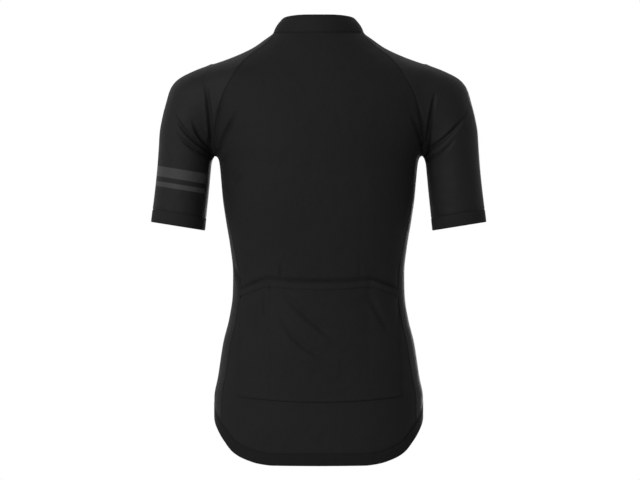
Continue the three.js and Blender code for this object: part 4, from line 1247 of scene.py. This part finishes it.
@functools.cache
def zip_line():
    """The line of the closed zip from the hem to the top of the collar, and its outward directions."""
    hem, collar = hem_rows()[1:, 0][::-1], collar_rows()[1:, 0]
    edge = np.concatenate([hem, front_rows()[:, -1], collar])
    line = edge * np.array([0, 1, 1]) + np.array([0, 0.1, 0])
    along = np.gradient(line, axis=0)
    return line, unit(np.stack([np.zeros(len(line)), along[:, 2], -along[:, 1]], axis=-1)), edge


def body_threads():
    """Seams of the body: beside the raglan and side seams, beside the zip, and twice above the hem band."""
    back, front, side = back_rows(), front_rows(), side_rows()
    lines = [laid(back[:, column]) for column in (1, -2)]
    lines += [laid(back[row]) for row in (1, 2)]
    for column in (1, -2):
        lines += both_sides(front[:, column])
    for row in (1, 2):
        lines += both_sides(front[row]) + both_sides(side[row])
    lines.append(laid(back[-2]))
    lines += both_sides(front[-2]) + both_sides(raglan_rows()[-2])
    return lines


def sleeve_threads():
    """Two seams above each cuff."""
    return both_sides(sleeve_tube()[1], 0, True) + both_sides(sleeve_tube()[2], 0, True)


def collar_threads():
    """A seam at the foot of the collar and one under its top."""
    grid = collar_rows()
    normals = collar_normals(grid)
    return [(grid[row], normals[row], False) for row in (1, -3)]


def pocket_threads():
    """Seams round the pockets, down their two divisions and along both edges of the binding."""
    grid, body = pocket_rows()
    made = [grid[1], grid[:body, 1], grid[:body, -2]]
    lines = [laid(line, pocket_lift(line)) for line in made]
    low, high = grid[1, :, 2].min(), POCKET_MOUTH[0]["z"] - POCKET["binding"]
    for hand in (-1, 1):
        z = np.linspace(low + 4, high, 60)
        line = behind(np.full_like(z, hand * POCKET["division"]), z)
        lines.append(laid(line, pocket_lift(line)))
    for row in (body, -2):
        lines.append(laid(grid[row], pocket_lift(grid[row]) + BINDING["proud"]))
    return lines


def tack_lines():
    """Short dense tacks that hold the mouths at the divisions and at both ends."""
    lines = []
    for x in (-POCKET["half_top"] + 2, -POCKET["division"], POCKET["division"], POCKET["half_top"] - 2):
        top = float(MOUTH_Z(abs(x)))
        z = np.linspace(top - POCKET["binding"] - 3, top - 1, 20)
        line = behind(np.full_like(z, x), z)
        lines.append(laid(line, pocket_lift(line) + BINDING["proud"]))
    return lines


def zip_tape_grid():
    """The two tapes of the closed zip, with a channel between them for the coil."""
    line, normals, _ = zip_line()
    across = np.array(ZIP["tape_lines"])
    x = np.concatenate([-across[::-1], across])
    sunk = np.where(np.abs(x) > ZIP_HALF_WIDTH, SEAM_DIP, 0)
    sunk = np.where(np.abs(x) < ZIP["channel"], ZIP["sunk"], sunk)
    flat = line[:, None] + x[None, :, None] * np.array([1.0, 0, 0])
    return flat - normals[:, None] * sunk[None, :, None], np.repeat(normals[:, None], len(x), axis=1)


def sew_sleeve(name, side, material, thick):
    """One sleeve: its lower part is a tube, and its top a panel up to the neckline."""
    over = GRID["sleeve_columns"] + 2 * len(SEAM_LINES)
    tube, top = (grid if side > 0 else mirrored(grid) for grid in (sleeve_tube(), raglan_rows()))
    cloth = Cloth()
    ids = cloth.grid(tube, closed=True, middle=over // 2)
    cloth.grid(top, shared=ids[-1, : over + 1], middle=over // 2)
    mesh = cloth.shell(name, thick)
    piece = place_piece(name, mesh, material, "sleeve_knit", name.replace("_cloth", ""))


def copy_solid(node, name, material, body):
    """A CAD solid with its points merged and its sharp edges rounded."""
    source = frame["nodes"][node]
    work = bmesh.new()
    work.from_mesh(source.data)
    work.transform(source.matrix_world)
    bmesh.ops.remove_doubles(work, verts=work.verts, dist=ROUNDING["merge"] * MM)
    flat = math.radians(ROUNDING["flat"])
    bmesh.ops.dissolve_limit(work, angle_limit=flat, verts=work.verts, edges=work.edges)
    sharp = [edge for edge in work.edges if edge.calc_face_angle(0) > math.radians(ROUNDING["sharp"])]
    bmesh.ops.bevel(
        work, geom=sharp, offset=ROUNDING["offset"] * MM, segments=2, profile=0.5, affect="EDGES", clamp_overlap=True
    )
    bmesh.ops.triangulate(work, faces=work.faces)
    mesh = bpy.data.meshes.new(name)
    work.to_mesh(mesh)
    work.free()
    mesh.shade_smooth()
    mesh.set_sharp_from_angle(angle=math.radians(ROUNDING["sharp"]))
    return place_piece(name, mesh, material, "zip_metal", node, body=body)


def length_setting(name, description, default, **limits):
    """A setting in metres."""
    return FloatProperty(
        name=name, description=description, default=default, unit="LENGTH", precision=5, **{"min": 0, **limits}
    )


def colour_setting(name, description, default):
    """A colour setting."""
    return FloatVectorProperty(
        name=name, description=description, default=default, size=3, min=0, max=1, subtype="COLOR"
    )


class JerseyCut(bpy.types.PropertyGroup):
    """Thickness of the cloth."""

    knit: length_setting("Knit", "Thickness of the single knit", KNIT * MM, max=0.003)
    double_knit: length_setting("Collar", "Thickness of the double knit of the collar", DOUBLE_KNIT * MM, max=0.004)
    elastic: length_setting("Elastic", "Thickness of the hem band and cuffs", ELASTIC["thick"] * MM, max=0.003)
    pocket: length_setting("Pockets", "Thickness of the pocket cloth", POCKET_CLOTH["thick"] * MM, max=0.001)
    binding: length_setting("Binding", "Thickness of the band over the pockets", BINDING["thick"] * MM, max=0.002)


class JerseyColours(bpy.types.PropertyGroup):
    """Colours of the cloth, the zip and the thread."""

    body: colour_setting("Body", "Back, fronts and pockets", (0.0048, 0.0048, 0.0049))
    side: colour_setting("Sides", "Stretch mesh of the side panels", (0.0052, 0.0052, 0.0053))
    sleeve: colour_setting("Sleeves", "Smooth stretch knit of the sleeves", (0.0054, 0.0054, 0.0055))
    collar: colour_setting("Collar", "Double knit of the collar", (0.0046, 0.0046, 0.0047))
    hem: colour_setting("Hem", "Elastic band of the hem", (0.004, 0.004, 0.0041))
    cuff: colour_setting("Cuffs", "Elastic of the cuffs", (0.0062, 0.0062, 0.0063))
    binding: colour_setting("Binding", "Band over the mouths of the pockets", (0.0058, 0.0058, 0.0059))
    stripe: colour_setting("Stripes", "The two plain stripes round the left sleeve", (0.018, 0.018, 0.0185))
    zip: colour_setting("Zip", "Tapes and coil of the zip", (0.0045, 0.0045, 0.0046))
    metal: colour_setting("Slider", "Lacquer of the slider and its pull", (0.008, 0.008, 0.008))
    thread: colour_setting("Thread", "Thread of every seam", (0.0055, 0.0055, 0.0056))


class JerseySewing(bpy.types.PropertyGroup):
    """The stitches of the seams."""

    pitch: length_setting("Pitch", "From one stitch to the next", 0.0026, min=0.001)
    length: length_setting("Length", "Length of one stitch", 0.0021, min=0.0005)
    rise: length_setting("Rise", "How high a stitch stands in its middle", 0.0002)
    radius: length_setting("Radius", "Radius of the thread", 0.00018, min=0.00005)
    wobble: FloatProperty(
        name="Wobble", description="How far stitches turn from their line", default=math.radians(3.5),
        min=0, subtype="ANGLE", unit="ROTATION",
    )
    tack_pitch: length_setting("Tack pitch", "From one bar to the next in the tacks", 0.0006, min=0.0003)
    tack_length: length_setting("Tack width", "Length of the bars in the tacks", 0.0028, min=0.0005)
    seed: IntProperty(
        name="Seed", description="Changes the small turns of the stitches", default=7, min=0, subtype="UNSIGNED"
    )


class JerseyZip(bpy.types.PropertyGroup):
    """The coil of the zip."""

    pitch: length_setting("Pitch", "From one tooth to the next", 0.0008, min=0.0004)
    length: length_setting("Tooth", "Length of one tooth", 0.0018, min=0.0005)
    radius: length_setting("Radius", "Radius of the coil's wire", 0.0003, min=0.0001)
    offset: length_setting("Offset", "How far each row of teeth lies from the middle", 0.00035)
    rise: length_setting("Rise", "How high a tooth stands in its middle", 0.00015)


class JerseyStudio(bpy.types.PropertyGroup):
    """The camera, the floor and the light."""

    lens: FloatProperty(
        name="Lens", description="Focal length of the camera", default=421.9, min=20, max=1000, unit="CAMERA"
    )
    distance: length_setting("Distance", "From the camera to the middle of the jersey", 12.0, min=1)
    height: length_setting("Height", "Height of the camera", -0.32, min=-2)
    aside: length_setting("Aside", "How far the camera stands to the wearer's right", 0.0021, min=-1)
    sky: FloatProperty(
        name="Sky", description="Strength of the even light all round", default=1.0, min=0, max=5, subtype="FACTOR"
    )
    key: FloatProperty(
        name="Key", description="Power of the large light behind on the left", default=185, min=0, unit="POWER"
    )
    fill: FloatProperty(name="Fill", description="Power of the light before the jersey", default=90, min=0, unit="POWER")
    floor: length_setting("Floor", "Height of the floor", -1.45, min=-5)
    floor_radius: length_setting("Floor radius", "Radius of the floor", 5.0, min=1)
    floor_colour: colour_setting("Floor colour", "Pale plain floor", (0.75, 0.75, 0.74))


class JERSEY_OT_back(bpy.types.Operator):
    """Cuts the back panel"""

    bl_idname = "jersey.back"
    bl_label = "Back panel"

    def execute(self, context):
        scene = context.scene
        material = knit_material("body_knit", KNITS["body"], scene.jersey_colours.body)
        sew_panel(
            "back_cloth", back_rows(), 1, material, "body_knit", "back_panel", thick=scene.jersey_cut.knit / MM,
            lift=mouth_groove,
        )
        return {"FINISHED"}


class JERSEY_OT_fronts(bpy.types.Operator):
    """Cuts the left and right fronts"""

    bl_idname = "jersey.fronts"
    bl_label = "Fronts"

    def execute(self, context):
        scene = context.scene
        material = knit_material("front_knit", KNITS["body"], scene.jersey_colours.body)
        for side, hand in SIDES.items():
            sew_panel(
                f"front_{side}_cloth", front_rows(), hand, material, "body_knit", f"front_{side}",
                thick=scene.jersey_cut.knit / MM,
            )
        return {"FINISHED"}


class JERSEY_OT_sides(bpy.types.Operator):
    """Cuts the two side panels of stretch mesh"""

    bl_idname = "jersey.sides"
    bl_label = "Side panels"

    def execute(self, context):
        scene = context.scene
        material = knit_material("side_knit", KNITS["side"], scene.jersey_colours.side)
        for side, hand in SIDES.items():
            sew_panel(
                f"side_{side}_cloth", side_rows(), hand, material, "side_knit", f"side_{side}",
                thick=scene.jersey_cut.knit / MM,
            )
        return {"FINISHED"}


class JERSEY_OT_sleeves(bpy.types.Operator):
    """Cuts the two sleeves, the left one with its stripes"""

    bl_idname = "jersey.sleeves"
    bl_label = "Sleeves"

    def execute(self, context):
        scene = context.scene
        colours = scene.jersey_colours
        striped = {"left": colours.stripe, "right": None}
        for side, hand in SIDES.items():
            material = knit_material(f"sleeve_{side}_knit", KNITS["sleeve"], colours.sleeve, striped[side])
            sew_sleeve(f"sleeve_{side}_cloth", hand, material, scene.jersey_cut.knit / MM)
        return {"FINISHED"}


class JERSEY_OT_bands(bpy.types.Operator):
    """Cuts the elastic cuffs and the elastic hem band"""

    bl_idname = "jersey.bands"
    bl_label = "Cuffs and hem"

    def execute(self, context):
        scene = context.scene
        thick = scene.jersey_cut.elastic / MM
        colours = scene.jersey_colours
        hem, cuff = (
            knit_material(f"{name}_elastic", KNITS["elastic"], getattr(colours, name)) for name in ("hem", "cuff")
        )
        bands = [("hem_elastic", hem_rows(), False, "hem_band", hem)]
        for side, hand in SIDES.items():
            rings = cuff_rings() if hand > 0 else mirrored(cuff_rings())
            bands.append((f"cuff_{side}_elastic", rings, True, f"cuff_{side}", cuff))
        for name, grid, closed, node, material in bands:
            cloth = Cloth()
            cloth.grid(grid, closed=closed)
            mesh = cloth.shell(name, thick, lift=lambda p: ELASTIC["proud"])
            piece = place_piece(name, mesh, material, "elastic", node)
        return {"FINISHED"}


class JERSEY_OT_collar(bpy.types.Operator):
    """Cuts the stand collar"""

    bl_idname = "jersey.collar"
    bl_label = "Collar"

    def execute(self, context):
        scene = context.scene
        rows_up = collar_rows()
        tucked = rows_up[0] - unit(rows_up[2] - rows_up[0]) * COLLAR_TUCK
        grid = np.concatenate([tucked[None], rows_up])
        cloth = Cloth()
        cloth.grid(grid)
        normals = collar_normals(grid).reshape(-1, 3)
        mesh = cloth.shell("collar_cloth", scene.jersey_cut.double_knit / MM, normals=normals, folded=False)
        material = knit_material("collar_knit", KNITS["body"], scene.jersey_colours.collar)
        piece = place_piece("collar_cloth", mesh, material, "collar_knit", "collar")
        return {"FINISHED"}


class JERSEY_OT_pockets(bpy.types.Operator):
    """Cuts the panel of the three pockets and the binding along their mouths"""

    bl_idname = "jersey.pockets"
    bl_label = "Pockets"

    def execute(self, context):
        scene = context.scene
        grid, body = pocket_rows()
        parts = (
            ("pocket_cloth", grid[:body], "pocket_panel", "body_knit", scene.jersey_cut.pocket, 0, "laid"),
            ("pocket_elastic", grid[body - 1 :], "pocket_binding", "elastic", scene.jersey_cut.binding,
             BINDING["proud"], "stretched"),
        )
        colours = scene.jersey_colours
        materials = {
            "body_knit": knit_material("pocket_knit", KNITS["body"], colours.body),
            "elastic": knit_material("binding_elastic", KNITS["elastic"], colours.binding),
        }
        for name, points, node, slot, thick, proud, held in parts:
            cloth = Cloth()
            cloth.grid(points)
            mesh = cloth.shell(name, thick / MM, lift=lambda p, proud=proud: pocket_lift(p) + proud, dip=0)
            piece = place_piece(name, mesh, materials[slot], slot, node)
        return {"FINISHED"}


class JERSEY_OT_zip(bpy.types.Operator):
    """Makes the tapes, coil, slider and pull of the zip"""

    bl_idname = "jersey.zip"
    bl_label = "Zip"

    def execute(self, context):
        scene = context.scene
        colours, sizes = scene.jersey_colours, scene.jersey_zip
        grid, normals = zip_tape_grid()
        cloth = Cloth()
        cloth.grid(grid)
        mesh = cloth.shell("zip_tapes", ZIP["thick"], normals=normals.reshape(-1, 3), folded=False, dip=0)
        tape = knit_material("zip_tape", KNITS["elastic"], colours.zip)
        place_piece("zip_tapes", mesh, tape, "zip", "zip_chain")
        nylon = plastic_material("zip_nylon", colours.zip, 0.48)
        line, out, _ = zip_line()
        coil = grow("zip_coil", [(line - out * ZIP["coil_sunk"], out, False)], {
            "Pitch": sizes.pitch, "Length": sizes.length, "Rise": sizes.rise, "Radius": sizes.radius,
            "Shift": sizes.offset, "Turn": 0.0, "Swing": math.pi / 2, "Wobble": 0.0, "Seed": 0, "Material": nylon,
        })
        place_piece("zip_coil", coil, nylon, "zip")
        lacquer = lacquer_material("slider_lacquer", colours.metal)
        copy_solid("zip_slider", "slider_metal", lacquer, BODY)
        copy_solid("zip_pull", "pull_metal", lacquer, "pull_tab")
        return {"FINISHED"}


class JERSEY_OT_sewing(bpy.types.Operator):
    """Sews the seams, hems and pocket tacks"""

    bl_idname = "jersey.sewing"
    bl_label = "Stitches"

    def execute(self, context):
        scene = context.scene
        sizes = scene.jersey_sewing
        thread = thread_material("thread", scene.jersey_colours.thread)
        run = {
            "Pitch": sizes.pitch, "Length": sizes.length, "Rise": sizes.rise, "Radius": sizes.radius, "Shift": 0.0,
            "Turn": 0.0, "Swing": 0.0, "Wobble": sizes.wobble, "Seed": sizes.seed, "Material": thread,
        }
        bars = {**run, "Pitch": sizes.tack_pitch, "Length": sizes.tack_length, "Turn": math.pi / 2}
        for name, lines, settings, slot in (
            ("body_stitches", body_threads(), run, "body_knit"),
            ("sleeve_stitches", sleeve_threads(), run, "sleeve_knit"),
            ("collar_stitches", collar_threads(), run, "collar_knit"),
            ("pocket_stitches", pocket_threads(), run, "body_knit"),
            ("pocket_tacks", tack_lines(), bars, "elastic"),
        ):
            place_piece(name, grow(name, lines, settings), thread, slot)
        return {"FINISHED"}


class JERSEY_OT_studio(bpy.types.Operator):
    """Sets up the camera, the floor and the light"""

    bl_idname = "jersey.studio"
    bl_label = "Studio"

    def execute(self, context):
        scene = context.scene
        set_up = scene.jersey_studio
        lens = bpy.data.cameras.new("camera")
        lens.lens = set_up.lens
        lens.sensor_width = 36
        lens.clip_end = 100
        camera = bpy.data.objects.new("camera", lens)
        camera.location = (set_up.aside, -set_up.distance, set_up.height)
        camera.rotation_euler = (math.pi / 2, 0, 0)
        scene.collection.objects.link(camera)
        scene.camera = camera
        scene.view_settings.view_transform = "Standard"
        world = bpy.data.worlds.new("studio")
        world.use_nodes = True
        world.node_tree.nodes["Background"].inputs["Color"].default_value = (1, 1, 1, 1)
        world.node_tree.nodes["Background"].inputs["Strength"].default_value = set_up.sky
        scene.world = world
        middle = Vector((0, 0, set_up.height))
        for name, place, size, power in (
            ("key_light", KEY_LIGHT["place"], KEY_LIGHT["size"], set_up.key),
            ("fill_light", FILL_LIGHT["place"], FILL_LIGHT["size"], set_up.fill),
        ):
            light = bpy.data.lights.new(name, "AREA")
            light.energy = power
            light.size = size
            lamp = bpy.data.objects.new(name, light)
            lamp.location = place
            lamp.rotation_euler = (middle - Vector(place)).to_track_quat("-Z", "Y").to_euler()
            scene.collection.objects.link(lamp)
        work = bmesh.new()
        bmesh.ops.create_circle(work, cap_ends=True, segments=96, radius=set_up.floor_radius)
        work.transform(Matrix.Translation((0, 0, set_up.floor)))
        mesh = bpy.data.meshes.new("floor")
        work.to_mesh(mesh)
        work.free()
        mesh.materials.append(floor_material("floor", set_up.floor_colour))
        floor = bpy.data.objects.new("floor", mesh)
        scene.collection.objects.link(floor)
        return {"FINISHED"}


GROUPS = {
    "jersey_cut": JerseyCut,
    "jersey_colours": JerseyColours,
    "jersey_sewing": JerseySewing,
    "jersey_zip": JerseyZip,
    "jersey_studio": JerseyStudio,
}
OPERATORS = (
    JERSEY_OT_back, JERSEY_OT_fronts, JERSEY_OT_sides, JERSEY_OT_sleeves, JERSEY_OT_bands, JERSEY_OT_collar,
    JERSEY_OT_pockets, JERSEY_OT_zip, JERSEY_OT_sewing, JERSEY_OT_studio,
)


class JERSEY_PT_panel(bpy.types.Panel):
    """Lists the pieces of the jersey and their settings"""

    bl_idname = "JERSEY_PT_panel"
    bl_label = "Jersey"
    bl_space_type = "VIEW_3D"
    bl_region_type = "UI"
    bl_category = "Jersey"

    def draw(self, context):
        for operator in OPERATORS:
            self.layout.operator(operator.bl_idname)
        for name, group in GROUPS.items():
            box = self.layout.box()
            box.label(text=group.__doc__)
            for setting in group.__annotations__:
                box.prop(getattr(context.scene, name), setting)


def register():
    """Adds the settings, the operators and the panel to Blender."""
    for group in (*GROUPS.values(), *OPERATORS, JERSEY_PT_panel):
        bpy.utils.register_class(group)
    for name, group in GROUPS.items():
        setattr(bpy.types.Scene, name, PointerProperty(type=group))


def unregister():
    """Takes them out again."""
    for name in GROUPS:
        delattr(bpy.types.Scene, name)
    for group in reversed((*GROUPS.values(), *OPERATORS, JERSEY_PT_panel)):
        bpy.utils.unregister_class(group)


def main():
    """Makes the whole jersey and its studio."""
    register()
    bpy.ops.jersey.back()
    bpy.ops.jersey.fronts()
    bpy.ops.jersey.sides()
    bpy.ops.jersey.sleeves()
    bpy.ops.jersey.bands()
    bpy.ops.jersey.collar()
    bpy.ops.jersey.pockets()
    bpy.ops.jersey.zip()
    bpy.ops.jersey.sewing()
    bpy.ops.jersey.studio()


if __name__ == "__main__":
    main()
